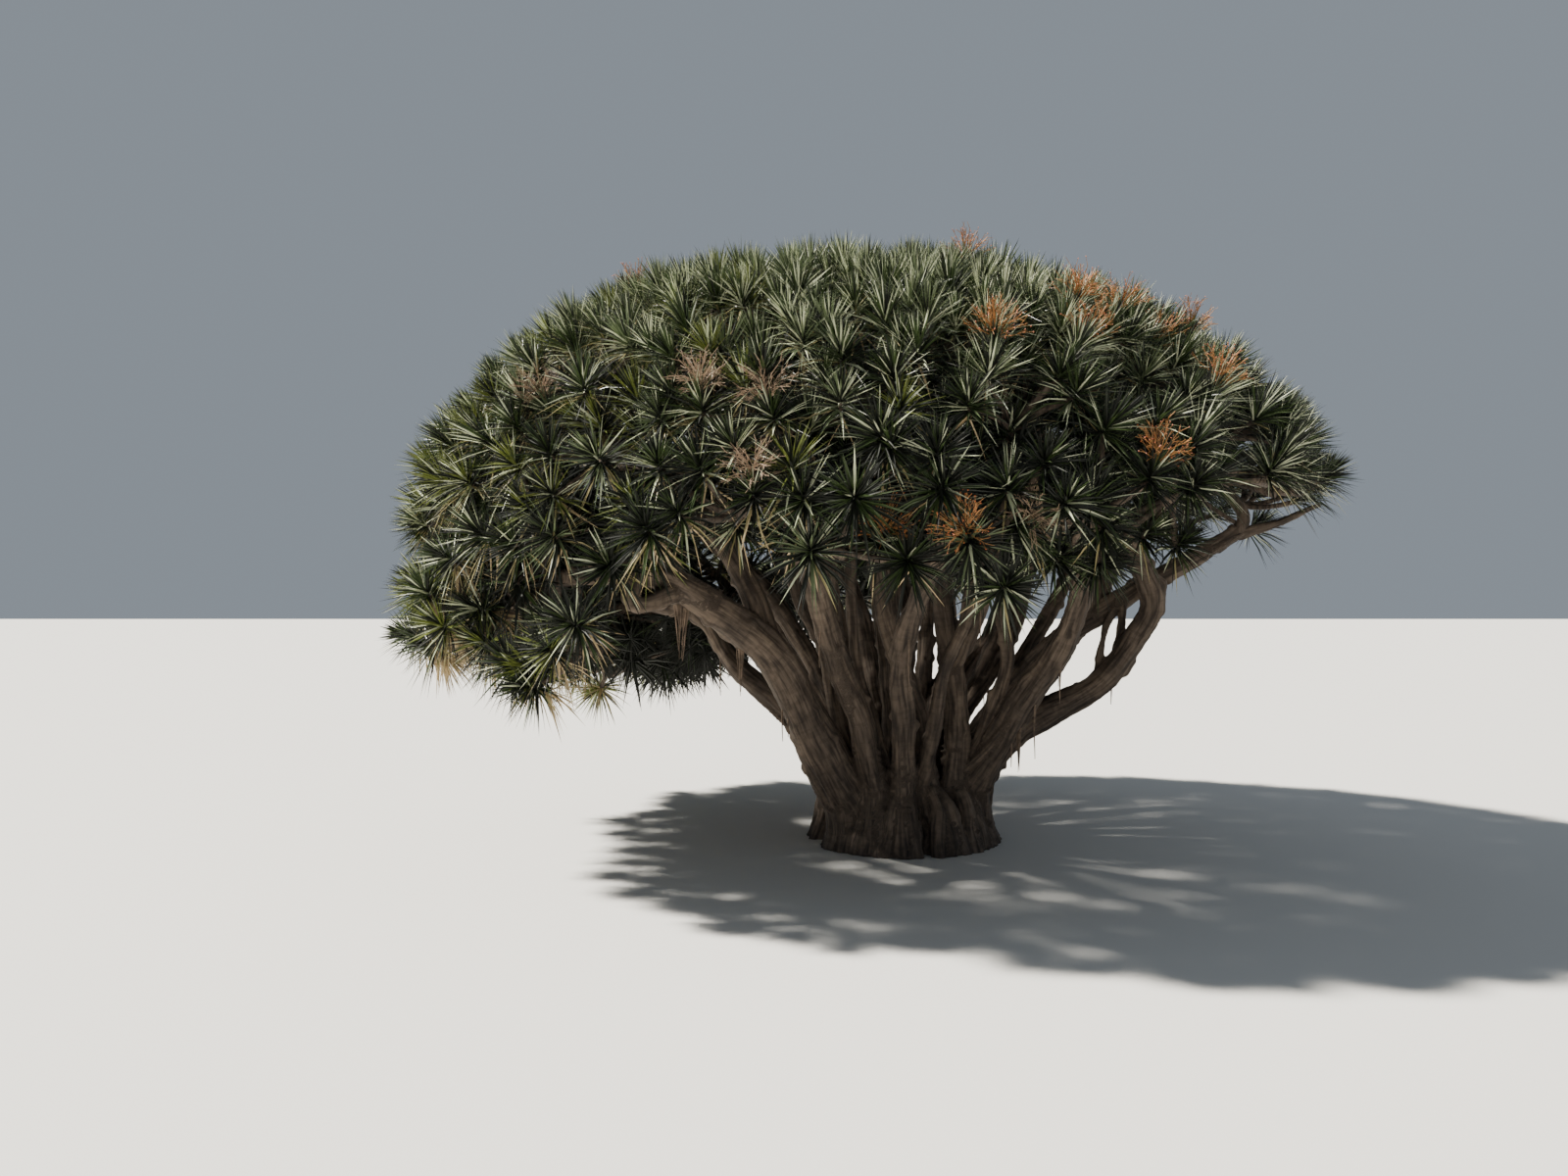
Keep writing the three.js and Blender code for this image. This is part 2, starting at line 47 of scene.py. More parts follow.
REACH = {"left": 5.9, "right": 5.96, "front": 5.25, "back": 5.35, "up": 3.9, "down": 6.5}
SQUARENESS = {"left": 2.42, "right": 2}
BULGE = {"azimuth": 202, "elevation": -6, "width": 12, "share": 0.05}
RIM = {"mean": -1.5, "right_rise": 11.5, "back_drop": 3.5}
DIPS = [
    {"azimuth": 226, "width": 7, "drop": 7},
    {"azimuth": 130, "width": 28, "drop": 7},
    {"azimuth": 185, "width": 22, "drop": -5.5},
    {"azimuth": 246, "width": 12, "drop": -9.5},
    {"azimuth": 325, "width": 20, "drop": -2},
]
AXIS_SOURCE = np.array([-0.38, 0.0, 2.3])
GOLDEN_ANGLE = 137.508
SEED = 20611

# Masses of foliage: tier, azimuths, elevation above the rim, and how far out their limbs enter them.
TIERS = [
    ("rim", [0, 40, 80, 118, 152, 186, 216, 248, 284, 322], 9, 0.6),
    ("mid", [20, 65, 110, 155, 200, 245, 290, 335], 36, 0.6),
    ("upper", [30, 102, 174, 246, 318], 62, 0.58),
    ("top", [0], 95, 0.58),
]

# The source's rule of rosettes, and the finer ones that its branches carry here. Shaded ones stand inside
# them, higher above the rim but for the back.
COARSE = {"count": 121, "depth": 0.72, "near_share": 0.97, "more_share": 0.1}
FINE = {"count": 900, "depth": 0.45, "near_share": 0.97, "more_share": 0.12, "jitter": 0.018}
INNER = {"count": 400, "depth": 0.9, "more_depth": 0.8, "above_rim": 7, "back": 0.3}
# Rosettes that hang inside the low left and back rim: their azimuths, elevations above the rim and depths.
LOW = {"count": 120, "azimuths": (105, 208), "above_rim": (-1, 10), "depths": (0.55, 2.3)}
# Rosettes that hang lower than the rim at the front right, further inside it.
FRINGE = {"count": 14, "azimuths": (280, 313), "elevations": (-1, 4), "scatter": (-1.5, 4.5),
          "depths": (0.2, 1.3)}
RELAX = {"rounds": 60, "spacing": 1.45, "push": 0.058}
# Some rosettes stand back from the envelope, deeper where the crown is low in front. How low in front one
# is falls evenly with its elevation, in degrees.
RECESSED = {"share": 0.45, "deepest": 0.4, "front_low": 0.8}
FRONT_LOW = {"widening": 1.3, "start": 1.4, "fade": 25}
# An opening at the lower left, between the arching bough and a low bunch of rosettes. Outer rosettes that
# would fill it hang in the bunch, at these heights above the rim, and shaded ones stay above it.
OPENING = {"azimuths": (217, 241), "elevations": (-8, 1.8), "bunch": (0.5, 4.5), "above": (2, 7)}
# How far rosettes turn up from facing straight out, and how much that is scattered.
TILT = {"least": 0.3, "more": 0.85, "full_elevation": 50, "scatter": 0.2}

TRUNK = {"radius": 0.8, "flare": 0.21, "flare_height": 0.2, "ridge": 0.19, "ridge_width": 10,
         "sides": 160, "rings": 15}
# Boughs whose feet stand nearer to the middle than this have no ridge under them.
INNER_FEET = 0.55
# Heights and shares of the radius there, and the crest above the last of them.
TRUNK_RINGS = [(0, 1), (0.09, 1), (0.22, 0.99), (0.43, 0.95), (0.68, 0.88)]
CREST = {"rise": 0.17, "shares": (0.8, 0.6, 0.45)}

# Boughs and side limbs, as in the solids: radii at the foot and at the tip, the foot's place on the trunk,
# points on the way, and the mass that they carry or an end of their own. A side limb leaves a bough at a
# share of its length, and one that goes on from its end first keeps to its direction.
FOOT_HEIGHT = 0.33
CONTINUED = 0.3
TAPER = 0.75
Bough = namedtuple("Bough", "radii foot via carries end taper", defaults=(None, None, TAPER))
SideLimb = namedtuple("SideLimb", "radii bough at carries via")
BOUGHS = {
    "left_arch": Bough(
        (0.32, 0.165), (-0.56, -0.43), [(-1.18, -0.98, 1.5), (-1.64, -1.33, 2.42)], end=(-2.88, -1.75, 3.33)),
    "outer_left": Bough(
        (0.205, 0.105), (-0.62, 0.06),
        [(-1.45, 0.15, 1.54), (-2.18, 0.26, 2.18), (-2.56, 0.48, 2.75)], "rim_152"),
    "front_left": Bough((0.2, 0.1), (-0.33, -0.64), [(-0.56, -0.93, 1.5), (-0.96, -1.28, 2.45)], "rim_248"),
    "front": Bough((0.165, 0.088), (-0.08, -0.64), [(-0.12, -0.98, 1.5), (-0.2, -1.56, 2.5)], "rim_284"),
    "front_inner": Bough((0.15, 0.088), (0.25, -0.52), [(0.12, -0.64, 1.5), (-0.3, -0.72, 2.9)], "upper_246"),
    "front_upright": Bough(
        (0.165, 0.09), (0.54, -0.42), [(0.6, -0.52, 1.7), (0.45, -0.62, 2.9)], "upper_318"),
    "front_right": Bough((0.215, 0.105), (0.64, -0.18), [(1.33, -0.8, 1.72), (1.83, -1.4, 2.85)], "rim_322"),
    "right_low": Bough(
        (0.285, 0.072), (0.62, 0.11),
        [(1.43, 0.09, 1.33), (2.47, 0.02, 1.95), (2.9, -0.06, 2.54), (3.08, -0.26, 3.1)],
        "mid_335", taper=0.5),
    "right_reach": Bough(
        (0.225, 0.095), (0.5, 0.4), [(1.25, 0.52, 1.5), (2.25, 0.42, 2.6), (3.55, 0.06, 3.43)], "rim_0",
        (4.25, -0.02, 3.9)),
    "back_right": Bough((0.235, 0.105), (0.26, 0.62), [(0.85, 1.45, 1.6), (1.65, 2.25, 2.65)], "rim_40"),
    "back": Bough((0.215, 0.1), (-0.06, 0.64), [(0.08, 1.6, 1.7), (0.33, 2.45, 2.55)], "rim_80"),
    "back_left": Bough((0.24, 0.105), (-0.4, 0.48), [(-0.9, 1.35, 1.5), (-1.5, 2.25, 2.45)], "rim_118"),
    "centre": Bough((0.23, 0.115), (0, 0.02), [(-0.06, 0.12, 1.9), (-0.26, 0.08, 3.6)], "top_0"),
    "inner_right": Bough((0.165, 0.09), (0.39, -0.06), [(0.64, 0.09, 1.7), (0.52, 0.33, 3.5)], "upper_30"),
    "inner_left": Bough(
        (0.165, 0.09), (-0.39, -0.09), [(-0.61, -0.15, 1.7), (-1.01, 0.02, 3.3)], "upper_174"),
    "inner_back_right": Bough((0.17, 0.092), (0.27, 0.27), [(0.52, 0.78, 1.6), (1.18, 1.58, 3.0)], "mid_65"),
    "inner_back": Bough((0.165, 0.09), (-0.08, 0.38), [(-0.26, 0.9, 1.7), (-0.52, 1.8, 3.1)], "mid_110"),
    "inner_back_left": Bough(
        (0.17, 0.092), (-0.33, 0.21), [(-0.82, 0.52, 1.6), (-1.65, 1.15, 2.95)], "mid_155"),
}
SIDE_LIMBS = {
    "left_reach": SideLimb((0.155, 0.095), "left_arch", 1, "rim_186", []),
    "left_low": SideLimb((0.115, 0.082), "left_arch", 0.93, "rim_216", [(-3.18, -2.25, 3.05)]),
    "left_upper": SideLimb((0.17, 0.095), "left_arch", 0.6, "mid_200", [(-1.95, -1.18, 3.25)]),
    "front_left_upper": SideLimb((0.125, 0.085), "front_left", 0.5, "mid_245", [(-1.02, -1.33, 3.3)]),
    "front_fork": SideLimb((0.128, 0.088), "front_upright", 0.36, "mid_290", [(0.83, -0.9, 3.05)]),
    "right_mid": SideLimb((0.145, 0.092), "right_reach", 0.6, "mid_20", [(2.7, 0.62, 3.7)]),
    "centre_back": SideLimb((0.13, 0.088), "centre", 0.66, "upper_102", [(-0.38, 0.7, 4.4)]),
}
SPLINE_STEPS = 60
LIMB = {"points": 400, "sides": 32, "ring_step": 0.05, "flutes": 3, "flute_depth": 0.07, "flute_twist": 0.35}
SWELLING = {"share": 0.1, "length": 0.06}
# Small bends and lumps of a limb's own: how far and how often, by the metre.
WANDER = {"reach": 0.045, "often": 1.2, "lumps": 0.09, "lumps_often": 2.3,
          "strands": 0.07, "strands_often": 0.6, "strands_round": 1.6}

# Hanging aerial roots: name, limb, share of its length, length and radius at the top.
AERIAL_ROOTS = [
    ("root_arch_end", "bough_left_arch", 0.94, 0.8, 0.062),
    ("root_arch_middle", "bough_left_arch", 0.74, 0.78, 0.036),
    ("root_front_fork", "limb_front_fork", 0.5, 0.78, 0.07),
    ("root_front_right", "bough_front_right", 0.34, 0.76, 0.042),
    ("root_right_reach", "bough_right_reach", 0.42, 0.9, 0.046),
]

# Slender stems among the boughs: their radii at the foot and at the tip, and their points.
STEMS = [
    ((0.05, 0.038), [(2.4, 0.04, 1.85), (2.58, 0.1, 2.45), (2.7, 0.2, 2.78), (2.84, 0.22, 3.05)]),
    ((0.16, 0.05), [(-2.35, -1.6, 3.0), (-2.9, -1.86, 3.3), (-3.5, -2.1, 3.32), (-4.25, -2.3, 3.26)]),
    ((0.085, 0.035), [(3.85, 0.0, 3.64), (4.3, -0.02, 3.88), (4.8, -0.1, 4.04), (5.25, -0.15, 4.22)]),
    ((0.05, 0.038), [(2.72, 0.0, 2.14), (2.8, 0.1, 2.66), (2.84, 0.2, 3.02)]),
    ((0.1, 0.05),
     [(0.12, -0.55, 0.6), (0.3, -0.95, 1.5), (0.42, -1.12, 2.3), (0.62, -1.0, 2.75), (0.75, -0.9, 3.7)]),
    ((0.12, 0.06),
     [(-0.5, -0.3, 0.6), (-0.85, -0.5, 1.6), (-1.05, -0.62, 2.5), (-1.35, -0.9, 3.1), (-1.5, -1.0, 3.8)]),
    ((0.11, 0.055),
     [(0.55, -0.25, 0.6), (0.95, -0.5, 1.5), (1.2, -0.7, 2.3), (1.1, -0.8, 2.95), (1.15, -0.85, 3.8)]),
    ((0.1, 0.05),
     [(-0.15, -0.5, 0.6), (-0.42, -0.72, 1.5), (-0.62, -0.9, 2.2), (-0.7, -0.95, 2.9), (-0.75, -0.95, 3.7)]),
    ((0.13, 0.07),
     [(-0.2, 0.5, 0.6), (-0.5, 1.0, 1.6), (-1.0, 1.6, 2.7), (-1.3, 1.9, 3.2), (-1.45, 2.0, 3.8)]),
    ((0.13, 0.065),
     [(0.45, 0.5, 0.6), (0.9, 0.9, 1.5), (1.25, 1.1, 2.2), (1.7, 1.3, 3.2), (1.85, 1.4, 4.1)]),
    ((0.13, 0.065),
     [(0.12, 0.5, 0.6), (0.3, 0.8, 1.5), (0.42, 1.05, 2.3), (0.5, 1.3, 3.2), (0.55, 1.4, 4.0)]),
    ((0.12, 0.06), [(1.2, 0.5, 1.5), (1.7, 0.85, 2.25), (2.05, 1.0, 2.8), (2.4, 1.1, 3.4), (2.7, 1.15, 4.3)]),
    ((0.1, 0.055), [(0.7, 0.62, 1.3), (1.3, 1.0, 2.0), (1.62, 1.1, 2.6), (1.8, 1.1, 3.3), (1.9, 1.1, 4.1)]),
]
# Roots that have grown down from boughs to the trunk: the bough, the share of its length where the root
# starts, its foot and its radius.
DESCENDING_ROOTS = [
    ("left_arch", 0.56, (-0.66, -0.62), 0.05),
    ("front_right", 0.5, (0.52, -0.42), 0.045),
    ("front_inner", 0.55, (0.3, -0.62), 0.04),
    ("front_left", 0.55, (-0.3, -0.66), 0.042),
    ("right_reach", 0.42, (0.68, 0.24), 0.06),
    ("back_right", 0.5, (0.35, 0.6), 0.06),
    ("back_left", 0.5, (-0.5, 0.34), 0.06),
    ("outer_left", 0.5, (-0.7, -0.16), 0.05),
]
DESCENT = {"foot_height": 0.75, "sag": 0.12, "taper": (0.75, 0.35)}
# Ridges that run down the trunk from its outer boughs to the ground: heights, reaches and turns in degrees,
# one of them straight down and a thinner one to either side.
BESIDE = {"heights": (-0.06, 0.24, 0.5), "reaches": (1.12, 1.0, 0.95), "foot": 0.09, "share": 0.1}
RIDGES = [
    {"heights": (-0.06, 0.2), "reaches": (1.03, 0.96), "foot": 0.13, "share": 0.34, "turn": 0},
    {**BESIDE, "turn": 9},
    {**BESIDE, "turn": -9},
]
RIDGE_TOPS = (0.85, 1.3)
RIDGE_TAPER = (1, -0.4)
STEM_POINTS = 80

# Strands of a bundle of hanging roots: how widely they start along their bough and around, and how long and
# thick they are. Then how far single roots and strands sway, and how often by the metre.
STRANDS = {"count": 18, "radius": 0.012, "along": 1.2, "around": 0.8, "lengths": (0.45, 1),
           "radii": (0.6, 1.5), "sunk": 0.7, "gathered": 0.75, "narrowed": 0.8, "sway": 0.012, "often": 3.5}
SINGLE = {"radius": 0.017, "sunk": 0.6, "narrowed": 0.75, "sway": 0.035, "often": 2.5}
HANGING = {"points": 12, "sides": 5}
# Single hanging roots: the limb, the share of its length and the root's length.
SINGLE_ROOTS = [
    ("bough_left_arch", 0.52, 0.55), ("bough_left_arch", 0.55, 0.7), ("bough_front_right", 0.42, 0.8),
    ("bough_front_right", 0.3, 0.45), ("bough_front_right", 0.55, 0.6), ("bough_right_reach", 0.4, 0.8),
    ("bough_right_reach", 0.5, 0.5), ("bough_front", 0.6, 0.7), ("bough_front_left", 0.62, 0.6),
    ("limb_front_fork", 0.3, 0.6), ("bough_right_low", 0.4, 0.35), ("bough_outer_left", 0.6, 0.6),
    ("bough_back_left", 0.55, 0.7), ("bough_back", 0.6, 0.6), ("bough_back_right", 0.55, 0.8),
]

# The skin that fuses trunk and boughs: the size of its cells, and how it is smoothed.
BARK_VOXEL = 0.031
SMOOTHING = {"factor": 0.5, "iterations": 5}
# The bark's relief: how far each kind of it stands out, how much it is drawn out along a limb, the height
# between scars, and how high noise has to be for a wart.
RELIEF = {"sinews": 0.017, "folds": 0.008, "lumps": 0.016, "warts": 0.09, "scars": 0.0018,
          "stretch": 0.17, "scar_step": 0.16, "wart_level": 0.42}

# Branches inside the crown: radii at the foot and at the tip, how far they first keep to the direction in
# which they leave, and how finely they are made.
BRANCHES = {
    "stem": {"radii": (0.088, 0.07), "lead": 0.5, "points": 12, "sides": 10},
    "branch": {"radii": (0.062, 0.045), "lead": 0.35, "points": 9, "sides": 8},
    "twig": {"radii": (0.042, 0.03), "lead": 0.4, "points": 6, "sides": 5},
    "shaded_twig": {"radii": (0.035, 0.026), "lead": 0.5, "points": 5, "sides": 4},
}
# How much they swell at either end, and over which share of their length.
KNUCKLES = {"foot": (0.16, 0.14), "tip": (0.22, 0.16)}
# How far stems start back in their limbs, and stems, branches and twigs end short of their rosettes.
SHORT = {"limb": 0.05, "stem": 0.38, "branch": 0.18, "twig": 0.03}

LEAVES = {"count": 122, "length": 0.49, "half_width": 0.0116, "innermost": 4, "wider": 0}
INNER_LEAVES = {"count": 42, "length": 0.62, "half_width": 0.024, "innermost": 20, "wider": 30}
LOW_LEAVES = {"count": 90, "length": 0.48, "half_width": 0.013, "innermost": 4, "wider": 0}
# What leaves share: how they spread with age, how unruly their turns and faces are, where they are rooted,
# how their sizes vary by rosette, by age and by leaf, and how far they sag at least and at random.
LEAF = {"spreading": 0.8, "turned": 1.5, "rolled": 0.22, "root": 0.07, "out": 0.02, "sizes": (0.78, 1.08),
        "young": 0.78, "growth": 0.24, "growing": 3, "lengths": (0.86, 1.05), "widths": (0.8, 1.2),
        "least_sag": 0.01, "more_sag": 0.12}
# A blade: stations along its rib, widths at the first two, how much its sides fold up, and its faces.
BLADE = {"stations": np.array([0, 0.5, 1]), "widths": np.array([1.0, 0.82]), "fold": 0.35,
         "quads": np.array([[0, 2, 3, 1], [2, 4, 5, 3]]), "triangles": np.array([[1, 3, 6], [3, 5, 6]])}
# The angle from a rosette's axis to which its leaves spread: at the crown's rim, and high on its dome.
SPREAD = {"elevations": (6, 36), "angles": (112, 70)}
# To the right and to the left leaves spread as if they sat this much higher, in degrees.
LIFTS = {"right": 26, "left": 10}
# How unruly and how broad leaves are at those two elevations and how far old ones bend down, in degrees
# and as shares.
UNRULY = (5, 15)
BREADTH = (1.12, 0.78)
BEND = (0.18, 0.34)
# Dead leaves: a few under most rosettes, and skirts of them near an azimuth and near the rim.
SKIRT = {"length": 0.44, "half_width": 0.011, "azimuth": 203, "spread": 27, "highest": 13, "few": (1, 5),
         "many": 55, "rightmost": 0.3, "angles": (105, 160), "droop": 0.55, "depths": (0.05, 0.2),
         "thickness": (0.3, 1), "lengths": (0.75, 1.1), "sags": (0, 0.25)}
# A panicle: how high over its rosette it starts, its stem, its branches and their twiglets, and its berries.
PANICLE = {"base": 0.12, "stem": 0.2, "branches": 30, "branch": 0.31, "twiglets": 5, "twiglet": 0.08,
           "raised": 0.25, "stem_radii": (0.014, 0.008), "branch_radii": (0.005, 0.004, 0.0028),
           "twiglet_radii": (0.0028, 0.002), "branch_angles": (12, 78), "twiglet_angles": (15, 48),
           "feet": (0.15, 0.9), "joints": (0.25, 1), "twiglet_lengths": (0.6, 1.3), "fresh_rise": 0.1,
           "faded_rise": -0.3, "berried": 0.45, "berry": 0.0075}

# How tones are dealt out: the shares of glaucous and yellow rosettes, of whitish leaves that paint highlights,
# of near-black leaves that paint shade and of old leaves, how far the shares shift where shade is painted on
# the crown (lighter tones lose, the near-black one gains), and how far out the left and the painted-dark right
# lie.
DEALT = {"glaucous": 0.3, "yellow": 0.5, "painted_highlights": (0.16, 0.44), "painted_shades": 0.2, "old": 0.15, "old_left": 0.45,
         "old_age": 0.85, "painted_highlights_left": 0.3, "painted_shade_inside": 0.93}
PAINTED_SHADE_SHIFTS = {"glaucous": 0.7, "painted_highlights": 0.74, "painted_shades": 0.44, "old": 0.5}
SIDES = {"left": (-5, 0), "right": (1.5, 5)}

# Where panicles stand: azimuths and elevations seen from the crown's centre, in degrees.
FRUITING = [
    (281, 26), (296, 27), (306, 33), (315, 30), (311, 19), (297, 9), (266, 3), (276, 3), (295, 58),
    (297, 34), (334, 34), (60, 35), (140, 30), (200, 45), (20, 28), (95, 12), (170, 24), (118, 55),
    (35, 12),
]
FADED = [
    (282, 5), (254, 16), (253, 7), (295, 21), (246, 17), (220, 19), (80, 25), (155, 12), (5, 18),
]

# The studio's floor, sky and sun, and the photo's view.
FLOOR = {"size": 160, "below": 0.002, "color": (0.66, 0.65, 0.62), "roughness": 0.9}
SKY = {"color": (0.74, 0.84, 0.96, 1), "strength": 0.34}
SUN = {"energy": 14.5, "angle": 3, "color": (1, 0.95, 0.86), "direction": (0.9, -0.15, -1)}
CAMERA = {"place": (-1.52, -15.0, 3.3), "width_angle": 67.3, "down": 0.48}

rng = np.random.default_rng(SEED)


def unit(v):
    """Vectors scaled to a length of one, along the last axis."""
    return v / np.maximum(np.linalg.norm(v, axis=-1, keepdims=True), 1e-9)


def direction(azimuth, elevation):
    """Unit vectors from azimuths and elevations in degrees."""
    a, e = np.radians(azimuth), np.radians(elevation)
    return np.stack([np.cos(a) * np.cos(e), np.sin(a) * np.cos(e), np.sin(e) + 0 * a], axis=-1)


def angles(d):
    """Azimuths from 0 to 360 and elevations of unit vectors, in degrees."""
    return np.degrees(np.arctan2(d[:, 1], d[:, 0])) % 360, np.degrees(np.arcsin(d[:, 2]))


def turn_between(a, b):
    """How far one azimuth lies from another, in degrees."""
    return np.abs((a - b + 540) % 360 - 180)


def crown_reach(d):
    """How far the envelope lies from the crown's centre along unit vectors."""
    x, y, z = d[..., 0], d[..., 1], d[..., 2]
    right = 0.5 + 0.5 * x / np.maximum(np.hypot(x, y), 1e-6)
    power = SQUARENESS["left"] + (SQUARENESS["right"] - SQUARENESS["left"]) * right
    across = x / np.where(x < 0, REACH["left"], REACH["right"])
    away = y / np.where(y < 0, REACH["front"], REACH["back"])
    rise = np.abs(z) / np.where(z < 0, REACH["down"], REACH["up"])
    off = np.degrees(np.arccos(np.clip(d @ direction(BULGE["azimuth"], BULGE["elevation"]), -1, 1)))
    bulge = 1 + BULGE["share"] * np.exp(-(off / BULGE["width"]) ** 2)
    return bulge * (np.hypot(across, away) ** power + rise ** power) ** (-1 / power)


def rim_elevation(azimuth):
    """The elevation of the crown's lower edge, in degrees."""
    a = np.radians(azimuth)
    rim = RIM["mean"] + RIM["right_rise"] * np.cos(a) - RIM["back_drop"] * np.sin(a)
    for dip in DIPS:
        rim = rim - dip["drop"] * np.exp(-(turn_between(azimuth, dip["azimuth"]) / dip["width"]) ** 2)
    return rim


def clear_opening(d, heights):
    """Directions with those in the opening moved to heights, in degrees."""
    azimuth, elevation = angles(d)
    (left, right), (low, high) = OPENING["azimuths"], OPENING["elevations"]
    filling = (azimuth > left) & (azimuth < right) & (elevation > low) & (elevation < high)
    return np.where(filling[:, None], direction(azimuth, heights), d)


def on_envelope(d, depth=0.0):
    """Points a depth inside the envelope along unit vectors."""
    return CROWN + d * (crown_reach(d) - depth)[..., None]


def rosette_directions(count):
    """A golden-angle spiral over the crown, pushed apart in rounds until it stands about evenly."""
    k = np.arange(count)
    azimuth = k * GOLDEN_ANGLE % 360
    rise = np.sin(np.radians(rim_elevation(azimuth)))
    d = direction(azimuth, np.degrees(np.arcsin(1 - (k + 0.5) / count * (1 - rise))))
    near = RELAX["spacing"] * math.sqrt(2 * math.pi * REACH["left"] * REACH["front"] / count)
    for _ in range(RELAX["rounds"]):
        places = on_envelope(d)
        away = places[:, None] - places[None]
        distance = np.linalg.norm(away, axis=2)
        pushed = np.where((distance > 1e-3) & (distance < near), near / np.maximum(distance, 1e-3) - 1, 0)
        d = unit(places + RELAX["push"] * (pushed[..., None] * away).sum(axis=1) - CROWN)
        azimuth = np.degrees(np.arctan2(d[:, 1], d[:, 0]))
        d = direction(azimuth, np.maximum(np.degrees(np.arcsin(d[:, 2])), rim_elevation(azimuth)))
    return d


def park_miller(seed):
    """The source's repeatable stream of numbers from 0 to 1."""
    state = seed
    while True:
        state = state * 16807 % 2147483647
        yield state / 2147483647


def lattice_noise(points):
    """Smooth noise from -1 to 1 at points, repeatable, with features about one unit across."""
    cell = np.floor(points).astype(np.int64)
    f = points - cell
    f = f * f * (3 - 2 * f)
    total = np.zeros(len(points))
    for corner in range(8):
        step = np.array([corner & 1, corner >> 1 & 1, corner >> 2])
        x, y, z = (cell + step).T
        n = (x * 73856093) ^ (y * 19349663) ^ (z * 83492791)
        n = (n ^ (n >> 13)) * 1274126177 & 0xFFFFFFFF
        n = (n ^ (n >> 15)) & 0xFFFF
        weight = np.prod(np.where(step == 1, f, 1 - f), axis=1)
        total += weight * (n / 32767.5 - 1)
    return total


def spline(points, count):
    """Evenly spaced points along a centripetal curve through the given ones."""
    p = np.array(points, float)
    p = np.vstack([2 * p[0] - p[1], p, 2 * p[-1] - p[-2]])
    dense = []
    for a, b, c, d in zip(p, p[1:], p[2:], p[3:]):
        t0, t1, t2 = (max(np.linalg.norm(v) ** 0.5, 1e-4) for v in (b - a, c - b, d - c))
        m1 = ((b - a) / t0 - (c - a) / (t0 + t1) + (c - b) / t1) * t1
        m2 = ((c - b) / t1 - (d - b) / (t1 + t2) + (d - c) / t2) * t1
        t = np.linspace(0, 1, SPLINE_STEPS, endpoint=False)[:, None]
        dense.append((2 * t**3 - 3 * t**2 + 1) * b + (t**3 - 2 * t**2 + t) * m1
                     + (3 * t**2 - 2 * t**3) * c + (t**3 - t**2) * m2)
    dense = np.vstack([*dense, p[-2]])
    return resample(dense, count)


def resample(line, count):
    """Evenly spaced points along a polyline."""
    along = np.concatenate([[0], np.cumsum(np.linalg.norm(np.diff(line, axis=0), axis=1))])
    wanted = np.linspace(0, along[-1], count)
    return np.stack([np.interp(wanted, along, line[:, i]) for i in range(3)], axis=1)


def length_of(line):
    return float(np.linalg.norm(np.diff(line, axis=0), axis=1).sum())


def frames_along(line):
    """Tangents, normals and binormals along a polyline, turning as little as they can."""
    tangents = unit(np.gradient(line, axis=0))
    start = np.eye(3)[np.argmin(np.abs(tangents[0]))]
    normal = unit(np.cross(tangents[0], start))
    normals = []
    for tangent in tangents:
        normal = unit(normal - tangent * (normal @ tangent))
        normals.append(normal)
    normals = np.array(normals)
    return tangents, normals, np.cross(tangents, normals)


def circle(turn, across, beside):
    """Unit vectors at turns, in radians, in the plane of each pair of axes."""
    return np.cos(turn)[None, :, None] * across[:, None] + np.sin(turn)[None, :, None] * beside[:, None]


def across_axes(axes):
    """Two directions across each axis."""
    across = unit(np.cross(axes, np.where(np.abs(axes[..., 2:]) < 0.9, [0, 0, 1.0], [1.0, 0, 0])))
    return across, np.cross(axes, across)


def leaning(axes, polar, turn):
    """Unit vectors that lean from their axes by polar angles, at turns round them, in radians."""
    across, beside = across_axes(axes)
    out = (np.sin(polar) * np.cos(turn))[..., None] * across
    out = out + (np.sin(polar) * np.sin(turn))[..., None] * beside
    return out + np.cos(polar)[..., None] * axes


class Shape:
    """Points and faces gathered for one mesh."""

    def __init__(self):
        self.points, self.quads, self.triangles = [], [], []
        self.quad_tones, self.triangle_tones, self.count = [], [], 0

    def add(self, points, quads=(), triangles=(), tone=0):
        """Adds points with faces that count from the first of them. A tone is a material's number."""
        quads = np.array(quads, int).reshape(-1, 4)
        triangles = np.array(triangles, int).reshape(-1, 3)
        self.points.append(np.asarray(points, float).reshape(-1, 3))
        self.quads.append(quads + self.count)
        self.triangles.append(triangles + self.count)
        self.quad_tones.append(np.broadcast_to(tone, len(quads)))
        self.triangle_tones.append(np.broadcast_to(tone, len(triangles)))
        self.count += len(self.points[-1])

    def build(self, name, materials, smooth):
        """Makes the object."""
        points, quads, triangles = (np.concatenate(x) for x in (self.points, self.quads, self.triangles))
        mesh = bpy.data.meshes.new(name)
        mesh.vertices.add(len(points))
        mesh.vertices.foreach_set("co", points.astype(np.float32).ravel())
        corners = np.concatenate([quads.ravel(), triangles.ravel()]).astype(np.int32)
        mesh.loops.add(len(corners))
        mesh.loops.foreach_set("vertex_index", corners)
        mesh.polygons.add(len(quads) + len(triangles))
        starts = np.concatenate([np.arange(len(quads)) * 4, quads.size + np.arange(len(triangles)) * 3])
        mesh.polygons.foreach_set("loop_start", starts.astype(np.int32))
        tones = np.concatenate([*self.quad_tones, *self.triangle_tones]).astype(np.int32)
        mesh.polygons.foreach_set("material_index", tones)
        mesh.polygons.foreach_set("use_smooth", np.full(len(tones), smooth))
        mesh.update(calc_edges=True)
        mesh.validate()
        for material in materials:
            mesh.materials.append(material)
        made = bpy.data.objects.new(name, mesh)
        bpy.context.scene.collection.objects.link(made)
        return made


